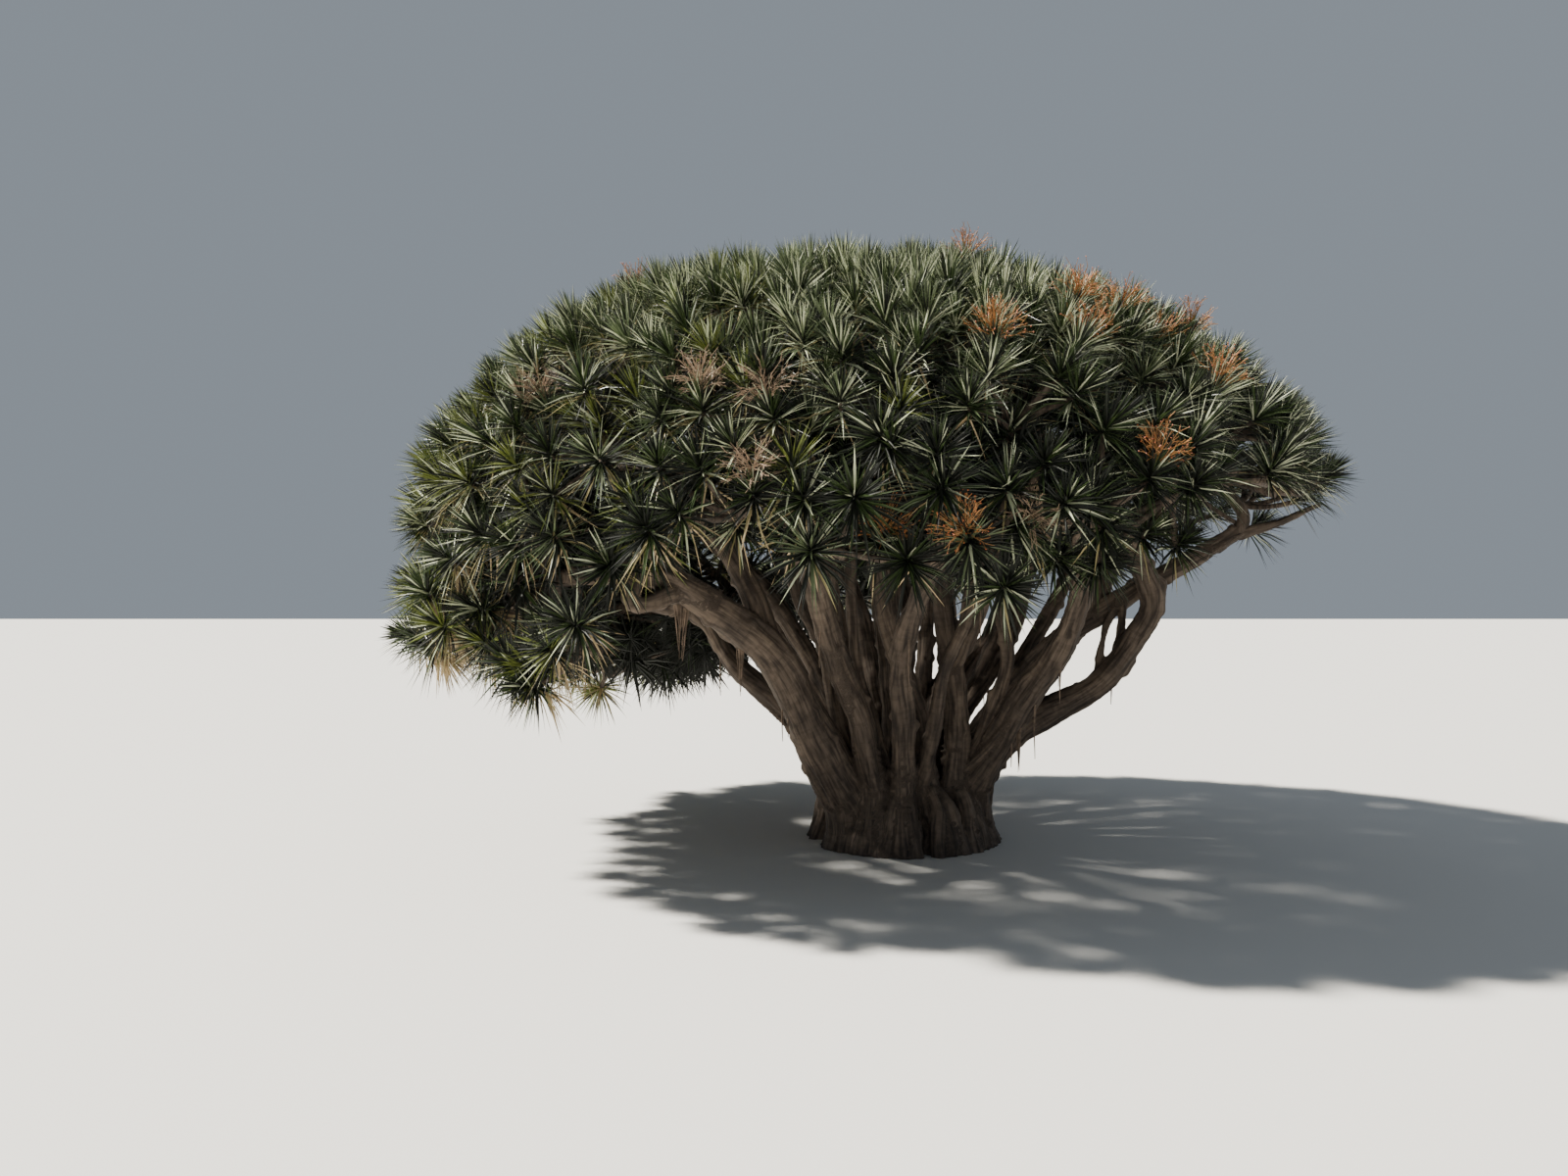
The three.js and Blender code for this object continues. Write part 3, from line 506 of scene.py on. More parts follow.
def tube(shape, line, radii, sides):
    """Adds a closed round tube along a polyline, with a radius for each of its points."""
    _, normals, binormals = frames_along(line)
    around = circle(np.arange(sides) / sides * 2 * np.pi, normals, binormals)
    tube_from_rings(shape, line[:, None] + around * np.asarray(radii)[:, None, None], line)


def tube_from_rings(shape, rings, line):
    """Adds a closed tube through rings of points, closed at the line's two ends."""
    points = np.concatenate([rings.reshape(-1, 3), line[:1], line[-1:]])
    shape.add(points, *tube_faces(len(rings), rings.shape[1]))


def tube_faces(count, sides):
    """Quads along a tube and triangles over its two ends, whose middles come after the rings."""
    j = np.arange(sides)
    k = (j + 1) % sides
    row = np.arange(count - 1)[:, None] * sides
    quads = np.stack([row + j, row + k, row + sides + k, row + sides + j], axis=2).reshape(-1, 4)
    last = (count - 1) * sides
    start, end = np.full(sides, count * sides), np.full(sides, count * sides + 1)
    triangles = np.concatenate([np.stack([k, j, start], 1), np.stack([last + j, last + k, end], 1)])
    return quads, triangles


def nearest(points, others):
    """The number of the nearest of the others to each point."""
    return np.array([np.argmin(((others - point) ** 2).sum(axis=1)) for point in points])


def facing(places, elevation):
    """The axes of rosettes at places: away from the crown's inside, turned up more the higher they sit."""
    tilt = TILT["least"] + TILT["more"] * np.clip(elevation / TILT["full_elevation"], 0, 1)
    out = unit(places - AXIS_SOURCE) + tilt[:, None] * np.array([0, 0, 1.0])
    return unit(out + TILT["scatter"] * rng.standard_normal(places.shape))


def poise(directions, elevation):
    """The elevation that a rosette's spread goes by: its own, and higher at the crown's right and left."""
    lift = np.where(directions[:, 0] > 0, LIFTS["right"], LIFTS["left"])
    return elevation + lift * directions[:, 0] ** 2


# Masses and coarse rosettes, by the source's rule.
masses = {}
for tier, azimuths, above_rim, entry in TIERS:
    for azimuth in azimuths:
        d = direction(azimuth, min(90, rim_elevation(azimuth) + above_rim))
        masses[f"{tier}_{azimuth}"] = {
            "centre": on_envelope(d, COARSE["depth"]),
            "entry": on_envelope(d, crown_reach(d) * (1 - entry)),
        }
mass_names = list(masses)
mass_centres = np.array([mass["centre"] for mass in masses.values()])

source_numbers = park_miller(SEED)
coarse_directions = rosette_directions(COARSE["count"])
coarse_depths = []
for _ in coarse_directions:
    share = COARSE["near_share"] + COARSE["more_share"] * next(source_numbers)
    coarse_depths.append(COARSE["depth"] * share)
    next(source_numbers)
coarse = on_envelope(coarse_directions, np.array(coarse_depths))
coarse_mass = nearest(coarse, mass_centres)

# Fine rosettes, with those of the opening in the low bunch, and the fringe after them.
fine_directions = rosette_directions(FINE["count"])
fine_directions = unit(fine_directions + FINE["jitter"] * rng.standard_normal(fine_directions.shape))
bunched = rim_elevation(angles(fine_directions)[0]) + rng.uniform(*OPENING["bunch"], FINE["count"])
fine_directions = clear_opening(fine_directions, bunched)
fringe_azimuths = np.linspace(*FRINGE["azimuths"], FRINGE["count"])
fringe_elevations = np.linspace(*FRINGE["elevations"], FRINGE["count"])
fringe_elevations = fringe_elevations + rng.uniform(*FRINGE["scatter"], FRINGE["count"])
fine_directions = np.concatenate([fine_directions, direction(fringe_azimuths, fringe_elevations)])
fringe_depths = np.zeros(len(fine_directions))
fringe_depths[FINE["count"]:] = rng.uniform(*FRINGE["depths"], FRINGE["count"])
fine_share = FINE["near_share"] + FINE["more_share"] * rng.random(len(fine_directions))
fine_elevation = angles(fine_directions)[1]
recess = np.maximum(0, rng.random(len(fine_directions)) - (1 - RECESSED["share"])) / RECESSED["share"]
front_low = np.clip(-fine_directions[:, 1] * FRONT_LOW["widening"], 0, 1)
front_low = front_low * np.clip(FRONT_LOW["start"] - fine_elevation / FRONT_LOW["fade"], 0, 1)
deepest = RECESSED["deepest"] + (RECESSED["front_low"] - RECESSED["deepest"]) * front_low
fine = on_envelope(fine_directions, FINE["depth"] * fine_share + deepest * recess + fringe_depths)
fine_coarse = nearest(fine, coarse)
fine_mass = coarse_mass[fine_coarse]
fine_axes = facing(fine, fine_elevation)
fine_poise = poise(fine_directions, fine_elevation)

# Shaded rosettes inside them.
inner_directions = rosette_directions(INNER["count"])
inner_azimuths, inner_elevations = angles(inner_directions)
lifted = INNER["above_rim"] * (inner_directions[:, 1] < INNER["back"])
inner_elevations = np.maximum(inner_elevations, rim_elevation(inner_azimuths) + lifted)
inner_directions = direction(inner_azimuths, inner_elevations)
inner_directions = clear_opening(inner_directions, rng.uniform(*OPENING["above"], INNER["count"]))
inner = on_envelope(inner_directions, INNER["depth"] + INNER["more_depth"] * rng.random(INNER["count"]))
inner_axes = facing(inner, inner_elevations)

low_azimuths = rng.uniform(*LOW["azimuths"], LOW["count"])
low_elevations = rim_elevation(low_azimuths) + rng.uniform(*LOW["above_rim"], LOW["count"])
low_depths = rng.uniform(*LOW["depths"], LOW["count"])
low = on_envelope(direction(low_azimuths, low_elevations), low_depths)
low_axes = facing(low, low_elevations)

inside = np.concatenate([inner, low])
inside_coarse = nearest(inside, coarse)


# Limbs: their lines and radii, as in the solids, with small bends and lumps of their own.
def limb_radius(limb, share):
    """A limb's radius at a share of its length."""
    start, end = limb["radii"]
    narrowed = start + (end - start) * share ** limb["taper"]
    return narrowed * (1 + SWELLING["share"] * np.exp(-((share - 1) / SWELLING["length"]) ** 2))


def along_noise(distance, often, number):
    """Smooth noise along a line, different for each number."""
    return lattice_noise(np.column_stack([distance * often, 0 * distance + 5.3 * number, 0 * distance + 1.7]))


def wandering(line, number):
    """The line with small bends that fade out at both its ends."""
    distance = np.linspace(0, length_of(line), len(line))
    fade = np.sin(np.pi * np.linspace(0, 1, len(line))) ** 0.5
    bends = [along_noise(distance, WANDER["often"], 3 * number + axis) for axis in range(3)]
    return line + WANDER["reach"] * fade[:, None] * np.stack(bends, axis=1)


def end_direction(line):
    """The direction in which a line ends."""
    return unit(line[-1] - line[-2])


limbs = {}


def add_limb(name, row, points, taper):
    """Keeps a limb that runs through points."""
    line = wandering(spline(points, LIMB["points"]), len(limbs))
    limbs[name] = {"line": line, "radii": row.radii, "taper": taper, "carries": row.carries}


def point_on(name, share):
    """The point of a limb's line at a share of its length."""
    line = limbs[name]["line"]
    return line[round(share * (len(line) - 1))]


for name, row in BOUGHS.items():
    end = row.end or masses[row.carries]["entry"]
    add_limb(f"bough_{name}", row, [(*row.foot, FOOT_HEIGHT), *row.via, end], row.taper)
for name, row in SIDE_LIMBS.items():
    start = point_on(f"bough_{row.bough}", row.at)
    points = [start, *row.via, masses[row.carries]["entry"]]
    if row.at == 1:
        onward = end_direction(limbs[f"bough_{row.bough}"]["line"])
        points.insert(1, start + onward * CONTINUED * np.linalg.norm(points[1] - start))
    add_limb(f"limb_{name}", row, points, TAPER)


def outer_boughs():
    """The boughs that stand at the trunk's edge, by name."""
    return {name: row for name, row in BOUGHS.items() if math.hypot(*row.foot) > INNER_FEET}


def trunk_rings():
    """The trunk's rings of points: a stool with a flared flat foot and a ridge under each outer bough."""
    feet = np.array([row.foot for row in outer_boughs().values()])
    turn = np.arange(TRUNK["sides"]) / TRUNK["sides"] * 360
    off = turn_between(turn[:, None], np.degrees(np.arctan2(feet[:, 1], feet[:, 0]))[None]).min(axis=1)
    ridge = TRUNK["ridge"] * np.exp(-(off / TRUNK["ridge_width"]) ** 2)
    out = direction(turn, 0 * turn)
    heights, shares = zip(*TRUNK_RINGS)
    rings = []
    for height in np.linspace(0, heights[-1], TRUNK["rings"]):
        flare = TRUNK["flare"] * math.exp(-height / TRUNK["flare_height"])
        reach = np.interp(height, heights, shares) * (TRUNK["radius"] + flare + ridge)
        rings.append(out * reach[:, None] + [0, 0, height])
    for share in CREST["shares"]:
        rise = CREST["rise"] * math.sqrt((1 - share) / (1 - CREST["shares"][-1]))
        reach = share * (TRUNK["radius"] + ridge) * shares[-1]
        rings.append(out * reach[:, None] + [0, 0, heights[-1] + rise])
    return np.array(rings)


# Materials.
def principled(name, color, roughness):
    material = bpy.data.materials.new(name)
    material.use_nodes = True
    shader = material.node_tree.nodes["Principled BSDF"]
    shader.inputs["Base Color"].default_value = (*color, 1)
    shader.inputs["Roughness"].default_value = roughness
    return material


def ramped(nodes, links, factor, *stops):
    """A colour that runs from one stop to the next as a factor rises. A stop is a position and a colour."""
    ramp = nodes.new("ShaderNodeValToRGB")
    for element, (position, color) in zip(ramp.color_ramp.elements, stops):
        element.position = position
        element.color = (*color, 1)
    links.new(factor, ramp.inputs["Fac"])
    return ramp.outputs["Color"]


def mottled(name, color, roughness, size, spread):
    """A plain colour that varies a little from place to place, by noise of a size in metres."""
    material = principled(name, color, roughness)
    nodes, links = material.node_tree.nodes, material.node_tree.links
    where = nodes.new("ShaderNodeTexCoord")
    noise = nodes.new("ShaderNodeTexNoise")
    noise.inputs["Scale"].default_value = 1 / size
    noise.inputs["Detail"].default_value = 2
    links.new(where.outputs["Object"], noise.inputs["Vector"])
    darker, lighter = ([min(1, channel * share) for channel in color] for share in (1 - spread, 1 + spread))
    varied = ramped(nodes, links, noise.outputs["Fac"], (0.35, darker), (0.65, lighter))
    links.new(varied, nodes["Principled BSDF"].inputs["Base Color"])
    return material


# Leaves: colours and roughness, and the size and strength of their mottling.
# The whitish tone is a painted highlight and the near-black tone is painted shade.
LEAF_TONES = {
    "leaf_painted_highlight": ((0.61, 0.65, 0.45), 0.32),
    "leaf_glaucous": ((0.125, 0.16, 0.082), 0.33),
    "leaf_green": ((0.042, 0.066, 0.022), 0.33),
    "leaf_painted_shade": ((0.007, 0.01, 0.005), 0.62),
    "leaf_yellow": ((0.16, 0.19, 0.042), 0.33),
    "leaf_old": ((0.36, 0.31, 0.15), 0.45),
}
LEAF_MOTTLING = (0.25, 0.22)
leaf_materials = [mottled(name, *look, *LEAF_MOTTLING) for name, look in LEAF_TONES.items()]
PAINTED_HIGHLIGHT, GLAUCOUS, GREEN, PAINTED_SHADE, YELLOW, OLD = range(6)


def bark_material(name, dark, light, place):
    """Bark: fibres along the limb, faint scar rings across it, and blotches, by places on limbs."""
    material = principled(name, light, 0.88)
    nodes, links = material.node_tree.nodes, material.node_tree.links
    shader = nodes["Principled BSDF"]
    where = nodes.new("ShaderNodeAttribute")
    where.attribute_name = place

    def noise(stretch, detail, often):
        mapping = nodes.new("ShaderNodeMapping")
        mapping.inputs["Scale"].default_value = stretch
        texture = nodes.new("ShaderNodeTexNoise")
        texture.inputs["Scale"].default_value = often
        texture.inputs["Detail"].default_value = detail
        links.new(where.outputs["Vector"], mapping.inputs["Vector"])
        links.new(mapping.outputs["Vector"], texture.inputs["Vector"])
        return texture.outputs["Fac"]

    def multiplied(a, factor, *stops):
        mix = nodes.new("ShaderNodeMix")
        mix.data_type = "RGBA"
        mix.blend_type = "MULTIPLY"
        mix.inputs["Factor"].default_value = factor
        links.new(a, mix.inputs["A"])
        links.new(ramped(nodes, links, *stops), mix.inputs["B"])
        return mix.outputs["Result"]

    fibres = noise(stretch=(1, 1, 0.1), detail=6, often=26)
    rings = noise(stretch=(0.35, 0.35, 1), detail=2, often=17)
    blotches = noise(stretch=(1, 1, 0.45), detail=4, often=3.2)
    color = ramped(nodes, links, fibres, (0.36, dark), (0.62, light))
    color = multiplied(color, 1, blotches, (0.36, (0.5, 0.48, 0.47)), (0.64, (1.0, 0.97, 0.93)))
    color = multiplied(color, 0.45, rings, (0.4, (0.55, 0.53, 0.52)), (0.5, (1, 1, 1)))
    links.new(color, shader.inputs["Base Color"])
    bump = nodes.new("ShaderNodeBump")
    bump.inputs["Strength"].default_value = 0.7
    bump.inputs["Distance"].default_value = 0.018
    links.new(fibres, bump.inputs["Height"])
    links.new(bump.outputs["Normal"], shader.inputs["Normal"])
    return material


BARK_PLACE = "limb_place"
bark = bark_material("bark", (0.042, 0.031, 0.024), (0.165, 0.128, 0.098), BARK_PLACE)
# Other finishes: colour, roughness, and the size and strength of their mottling.
FINISHES = {
    "panicle_stalk": ((0.33, 0.155, 0.05), 0.6, 0.06, 0.35),
    "berry": ((0.46, 0.11, 0.03), 0.45, 0.05, 0.35),
    "faded_stalk": ((0.3, 0.21, 0.14), 0.7, 0.08, 0.3),
    "root_bark": ((0.135, 0.096, 0.068), 0.85, 0.07, 0.4),
    "dry_leaf": ((0.44, 0.34, 0.19), 0.6, 0.2, 0.3),
}
finishes = {name: mottled(name, *look) for name, look in FINISHES.items()}


# Trunk and boughs: tubes fused into one skin, then given the bark's relief.
def place_on_limb(points, samples):
    """Each point's place on its nearest limb: across, across and along, shifted apart for each limb."""
    tree = KDTree(len(samples["surface"]))
    for i, point in enumerate(samples["surface"]):
        tree.insert(point, i)
    tree.balance()
    found = np.array([tree.find(point)[1] for point in points])
    index = samples["sample"][found]
    offset = points - samples["centre"][index]
    along = samples["along"][index] + (offset * samples["tangent"][index]).sum(1)
    across = np.stack([(offset * samples[key][index]).sum(1) for key in ("normal", "binormal")], axis=1)
    return np.column_stack([across, along]) + samples["shift"][index]


class Wood:
    """Closed tubes to fuse, with samples of where their skins lie."""

    def __init__(self):
        self.shape = Shape()
        self.keys = ("surface", "sample", "centre", "along", "tangent", "normal", "binormal", "shift")
        self.samples = {key: [] for key in self.keys}
        self.count = 0
        self.lines = 0

    def sample(self, line, rings, along, axes):
        """Notes a skin's rings along a line. The axes are the line's tangents, normals and binormals."""
        shift = np.tile([7.0 * self.lines, 3, 0], (len(line), 1))
        which = np.repeat(np.arange(len(line)), rings.shape[1]) + self.count
        for key, value in zip(self.keys, (rings.reshape(-1, 3), which, line, along, *axes, shift)):
            self.samples[key].append(value)
        self.count += len(line)
        self.lines += 1

    def add_tube(self, line, radius_at):
        """Adds a limb: a lobed tube with lumps. Its radius is worked out from shares of its length."""
        length = length_of(line)
        steps = max(8, round(length / LIMB["ring_step"]))
        line = resample(line, steps)
        share = np.linspace(0, 1, steps)
        distance = share * length
        turn = np.arange(LIMB["sides"]) / LIMB["sides"] * 2 * np.pi
        lobes = np.cos(LIMB["flutes"] * (turn[None] + LIMB["flute_twist"] * distance[:, None]) + self.lines)
        places = np.empty((steps, len(turn), 3))
        round_it = np.stack([np.cos(turn), np.sin(turn)], axis=1) * WANDER["strands_round"]
        places[..., :2] = round_it + 9 * self.lines
        places[..., 2] = (distance * WANDER["strands_often"])[:, None]
        strands = lattice_noise(places.reshape(-1, 3)).reshape(steps, -1)
        lumps = along_noise(distance, WANDER["lumps_often"], 50 + self.lines)
        relief = 1 + LIMB["flute_depth"] * lobes + WANDER["strands"] * strands
        relief = relief * (1 + WANDER["lumps"] * lumps)[:, None]
        tangents, normals, binormals = frames_along(line)
        reach = radius_at(share)[:, None] * relief
        rings = line[:, None] + circle(turn, normals, binormals) * reach[..., None]
        tube_from_rings(self.shape, rings, line)
        self.sample(line, rings, distance, (tangents, normals, binormals))

    def add_trunk(self):
        rings = trunk_rings()
        middles = np.array([[0, 0, rings[0, 0, 2]], [0, 0, rings[-1, 0, 2]]])
        tube_from_rings(self.shape, rings, middles)
        line = np.array([[0, 0, ring[0, 2]] for ring in rings])
        axes = [np.tile(axis, (len(line), 1)) for axis in np.eye(3)]
        self.sample(line, rings, line[:, 2], (axes[2], axes[0], axes[1]))

    def fused(self):
        """One skin over all the tubes, smoothed where they meet, with each point's place on its limb."""
        made = self.shape.build("trunk_and_boughs", [bark], True)
        bpy.context.view_layer.objects.active = made
        made.data.remesh_voxel_size = BARK_VOXEL
        bpy.ops.object.voxel_remesh()
        smooth = made.modifiers.new("smooth", "SMOOTH")
        smooth.factor, smooth.iterations = SMOOTHING["factor"], SMOOTHING["iterations"]
        bpy.ops.object.modifier_apply(modifier="smooth")
        mesh = made.data
        points, normals = np.zeros((2, len(mesh.vertices) * 3))
        mesh.vertices.foreach_get("co", points)
        mesh.vertices.foreach_get("normal", normals)
        points, normals = points.reshape(-1, 3), normals.reshape(-1, 3)
        samples = {key: np.concatenate(value) for key, value in self.samples.items()}
        return made, points, normals, place_on_limb(points, samples)


def creases(points):
    """Noise with sharp crests at one and hollows below."""
    return 1 - 2.4 * np.abs(lattice_noise(points))


def bark_relief(place):
    """How far the bark stands out: sinews and folds along a limb, lumps, warts and faint scar rings."""
    fibre = place * [1, 1, RELIEF["stretch"]]
    kinds = {
        "sinews": creases(fibre * 8),
        "folds": creases(fibre * 17 + 40),
        "lumps": lattice_noise(place * [4, 4, 3] + 90),
        "warts": np.maximum(0, lattice_noise(place * 7 + 20) - RELIEF["wart_level"]),
        "scars": np.cos(2 * np.pi * place[:, 2] / RELIEF["scar_step"] + 4 * lattice_noise(place * 3)),
    }
    return sum(RELIEF[kind] * height for kind, height in kinds.items())


def note_places(made, places):
    """Keeps the places on limbs that the bark's pattern goes by."""
    attribute = made.data.attributes.new(BARK_PLACE, "FLOAT_VECTOR", "POINT")
    attribute.data.foreach_set("vector", places.astype(np.float32).ravel())


def tapering(radius, start, change, share):
    """A radius at shares of a length, from a share of itself at the start and with an even change."""
    return radius * (start + change * share)


def add_ridges(wood, name, row):
    """Adds the ridges that carry on from a bough down the trunk to the ground."""
    azimuth = math.degrees(math.atan2(row.foot[1], row.foot[0]))
    line = limbs[f"bough_{name}"]["line"]
    tops = [line[np.argmax(line[:, 2] > height)] for height in RIDGE_TOPS]
    for ridge in RIDGES:
        low = []
        for height, reach in zip(ridge["heights"], ridge["reaches"]):
            turned = azimuth + ridge["turn"] * (1 - max(height, 0))
            low.append(direction(turned, 0) * reach + [0, 0, height])
        foot = ridge["foot"] + ridge["share"] * row.radii[0]
        wood.add_tube(spline([*low, *tops], STEM_POINTS), partial(tapering, foot, *RIDGE_TAPER))


def build_wood():
    wood = Wood()
    for limb in limbs.values():
        wood.add_tube(limb["line"], partial(limb_radius, limb))
    for name, row in outer_boughs().items():
        add_ridges(wood, name, row)
    for radii, points in STEMS:
        line = wandering(spline(points, STEM_POINTS), wood.lines)
        wood.add_tube(line, partial(np.interp, xp=(0, 1), fp=radii))
    for name, at, foot, radius in DESCENDING_ROOTS:
        top = point_on(f"bough_{name}", at)
        foot = np.array([*foot, DESCENT["foot_height"]])
        line = spline([top, (top + foot) / 2 - [0, 0, DESCENT["sag"]], foot], STEM_POINTS)
        wood.add_tube(wandering(line, wood.lines), partial(tapering, radius, *DESCENT["taper"]))
    wood.add_trunk()
    made, points, normals, place = wood.fused()
    points = points + normals * bark_relief(place)[:, None]
    points[:, 2] = np.maximum(points[:, 2], 0.0)
    made.data.vertices.foreach_set("co", points.astype(np.float32).ravel())
    note_places(made, place)
    made.data.polygons.foreach_set("use_smooth", np.ones(len(made.data.polygons), bool))
    made.data.update()
    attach(made, "root")
    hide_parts("trunk", *limbs)


# Branches inside the crown: a stem from each limb's tip, a fork, and a twig for each rosette.
def knuckled(start, end, count):
    """Radii that narrow from start to end and swell at both ends."""
    t = np.linspace(0, 1, count)
    (foot, foot_length), (tip, tip_length) = KNUCKLES["foot"], KNUCKLES["tip"]
    swelling = 1 + foot * np.exp(-(t / foot_length) ** 2) + tip * np.exp(-((1 - t) / tip_length) ** 2)
    return (start + (end - start) * t) * swelling


def add_branch(shape, kind, start, end, toward):
    """Adds a branch that leaves its start along a direction and comes to its end, and gives its line."""
    row = BRANCHES[kind]
    middle = start + toward * row["lead"] * np.linalg.norm(end - start)
    t = np.linspace(0, 1, row["points"])[:, None]
    line = (1 - t) ** 2 * start + 2 * t * (1 - t) * middle + t**2 * end
    tube(shape, line, knuckled(*row["radii"], row["points"]), row["sides"])
    return line


def build_branches():
    shape = Shape()
    carried = {limb["carries"]: limb["line"] for limb in limbs.values()}
    for number, name in enumerate(mass_names):
        onward = end_direction(carried[name])
        middle = coarse[coarse_mass == number].mean(axis=0)
        fork = middle - unit(middle - AXIS_SOURCE) * SHORT["stem"]
        stem = add_branch(shape, "stem", carried[name][-1] - onward * SHORT["limb"], fork, onward)
        for hub in np.flatnonzero(coarse_mass == number):
            tip = coarse[hub] - unit(coarse[hub] - AXIS_SOURCE) * SHORT["branch"]
            branch = add_branch(shape, "branch", stem[-2], tip, end_direction(stem))
            for k in np.flatnonzero(fine_coarse == hub):
                tip = fine[k] - fine_axes[k] * SHORT["twig"]
                add_branch(shape, "twig", branch[-2], tip, end_direction(branch))
            for place in inside[inside_coarse == hub]:
                joint = branch[nearest([place], branch)[0]]
                add_branch(shape, "shaded_twig", joint, place, unit(place - joint + [0, 0, 0.2]))
    made = shape.build("branches", [bark], True)
    note_places(made, np.concatenate(shape.points))
    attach(made, "root")


# Leaves: folded sword blades, all made at once for many rosettes.
def blades(shape, base, aim, side, length, half_width, sag, tones):
    """Adds blades: each leaves its base along its aim, bends down by a sag, and ends in a point."""
    stations = BLADE["stations"]
    rib = base[:, None] + aim[:, None] * length[:, None, None] * stations[None, :, None]
    rib[..., 2] -= (sag * length)[:, None] * stations ** 2
    out = side[:, None] * half_width[:, None, None] * BLADE["widths"][None, :, None]
    lift = np.cross(side, aim)[:, None] * half_width[:, None, None] * BLADE["widths"][None, :, None]
    lift = lift * BLADE["fold"]
    wide = rib[:, :2]
    points = np.concatenate([wide + out + lift, wide - lift, wide - out + lift, rib[:, 2:]], axis=1)
    first = np.arange(len(base))[:, None, None] * points.shape[1]
    shape.add(points, first + BLADE["quads"], first + BLADE["triangles"], np.repeat(tones, 2))


def by_elevation(elevation, values):
    """A column of values, between the two that hold at the crown's rim and high on its dome."""
    return np.interp(elevation, SPREAD["elevations"], values)[:, None]


def rosette_leaves(shape, hubs, axes, look, elevation, tones_of):
    """Adds every leaf of the rosettes at hubs that face along axes. Leaves are placed and toned by age."""
    n, m = len(hubs), look["count"]
    age = (np.arange(m) + 0.5) / m
    spread = by_elevation(elevation, SPREAD["angles"]) + look["wider"]
    unruly = by_elevation(elevation, UNRULY)
    polar = look["innermost"] + (spread - look["innermost"]) * age ** LEAF["spreading"]
    polar = np.radians(polar + unruly * rng.standard_normal((n, m)))
    turn = np.arange(m)[None] * GOLDEN_ANGLE + 360 * rng.random((n, 1))
    turn = np.radians(turn + LEAF["turned"] * unruly * rng.standard_normal((n, m)))
    aim = leaning(axes[:, None], polar, turn)
    side = unit(np.cross(aim, axes[:, None] + LEAF["rolled"] * rng.standard_normal((n, m, 3))))
    root = LEAF["root"] - 2 * LEAF["root"] * age
    base = hubs[:, None] + axes[:, None] * root[None, :, None] + aim * LEAF["out"]
    size = look["length"] * rng.uniform(*LEAF["sizes"], (n, 1))
    size = size * (LEAF["young"] + LEAF["growth"] * np.minimum(1, age * LEAF["growing"]))
    length = size * rng.uniform(*LEAF["lengths"], (n, m))
    sag = LEAF["least_sag"] + by_elevation(elevation, BEND) * age ** 2
    sag = sag + LEAF["more_sag"] * rng.random((n, m)) ** 2
    half_width = look["half_width"] * by_elevation(elevation, BREADTH) * rng.uniform(*LEAF["widths"], (n, m))
    vectors = (part.reshape(n * m, 3) for part in (base, aim, side))
    blades(shape, *vectors, length.ravel(), half_width.ravel(), sag.ravel(), tones_of(n, m, age).ravel())


def outer_tones(places, front_low):
    """Deals tones by rosette and age: yellower to the left, painted shade to the right and low in front."""
    leftward = np.interp(places[:, 0] - CROWN[0], SIDES["left"], (1, 0))
    # How strongly shade is painted: more to the right and low in front.
    darker = np.maximum(np.interp(places[:, 0] - CROWN[0], SIDES["right"], (0, 1)), front_low)

    def tones_of(n, m, age):
        # Where shade is painted, the lighter tones' shares shrink and the near-black tone's share grows.
        kept = {kind: 1 - share * darker for kind, share in PAINTED_SHADE_SHIFTS.items()}
        tone = np.where(rng.random(n) < DEALT["glaucous"] * kept["glaucous"], GLAUCOUS, GREEN)
        tone = np.where(rng.random(n) < DEALT["yellow"] * leftward, YELLOW, tone)
        tones = np.broadcast_to(tone[:, None], (n, m)).copy()
        mixed = rng.random((n, m))
        # Whitish leaves are painted highlights, fewer to the left; near-black leaves are painted shade.
        painted_highlight_share = rng.uniform(*DEALT["painted_highlights"], n) * (1 - DEALT["painted_highlights_left"] * leftward) * kept["painted_highlights"]
        tones[mixed < painted_highlight_share[:, None]] = PAINTED_HIGHLIGHT
        tones[mixed > (kept["painted_shades"] - DEALT["painted_shades"])[:, None]] = PAINTED_SHADE
        withered = DEALT["old"] * kept["old"] + DEALT["old_left"] * leftward
        tones[(age[None] > DEALT["old_age"]) & (rng.random((n, m)) < withered[:, None])] = OLD
        return tones

    return tones_of


# Shaded rosettes inside the crown: nearly all their leaves take the near-black tone, painted shade.
def shaded_tones(n, m, age):
    return np.where(rng.random((n, m)) < DEALT["painted_shade_inside"], PAINTED_SHADE, GREEN)


def leaf_piece(name, shape, replaced=()):
    made = shape.build(name, leaf_materials, False)
    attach(made, "root")
    if replaced:
        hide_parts(*replaced)


def build_leaves():
    """One piece of leaves for each tier's sides, standing for the masses whose rosettes it holds."""
    groups = {}
    for number, name in enumerate(mass_names):
        tier = name.split("_")[0]
        half = "front" if mass_centres[number][1] < 0 else "back"
        group = "leaves_top" if tier in ("upper", "top") else f"leaves_{tier}_{half}"
        groups.setdefault(group, []).append(number)
    for group, numbers in groups.items():
        shape = Shape()
        chosen = np.isin(fine_mass, numbers)
        rosette_leaves(shape, fine[chosen], fine_axes[chosen], LEAVES, fine_poise[chosen],
                       outer_tones(fine[chosen], front_low[chosen]))
        leaf_piece(group, shape, [f"foliage_{mass_names[number]}" for number in numbers])
    shape = Shape()
    inner_poise = poise(inner_directions, inner_elevations)
    rosette_leaves(shape, inner, inner_axes, INNER_LEAVES, inner_poise, shaded_tones)
    rosette_leaves(shape, low, low_axes, LOW_LEAVES, low_elevations, shaded_tones)
    leaf_piece("leaves_inner", shape)


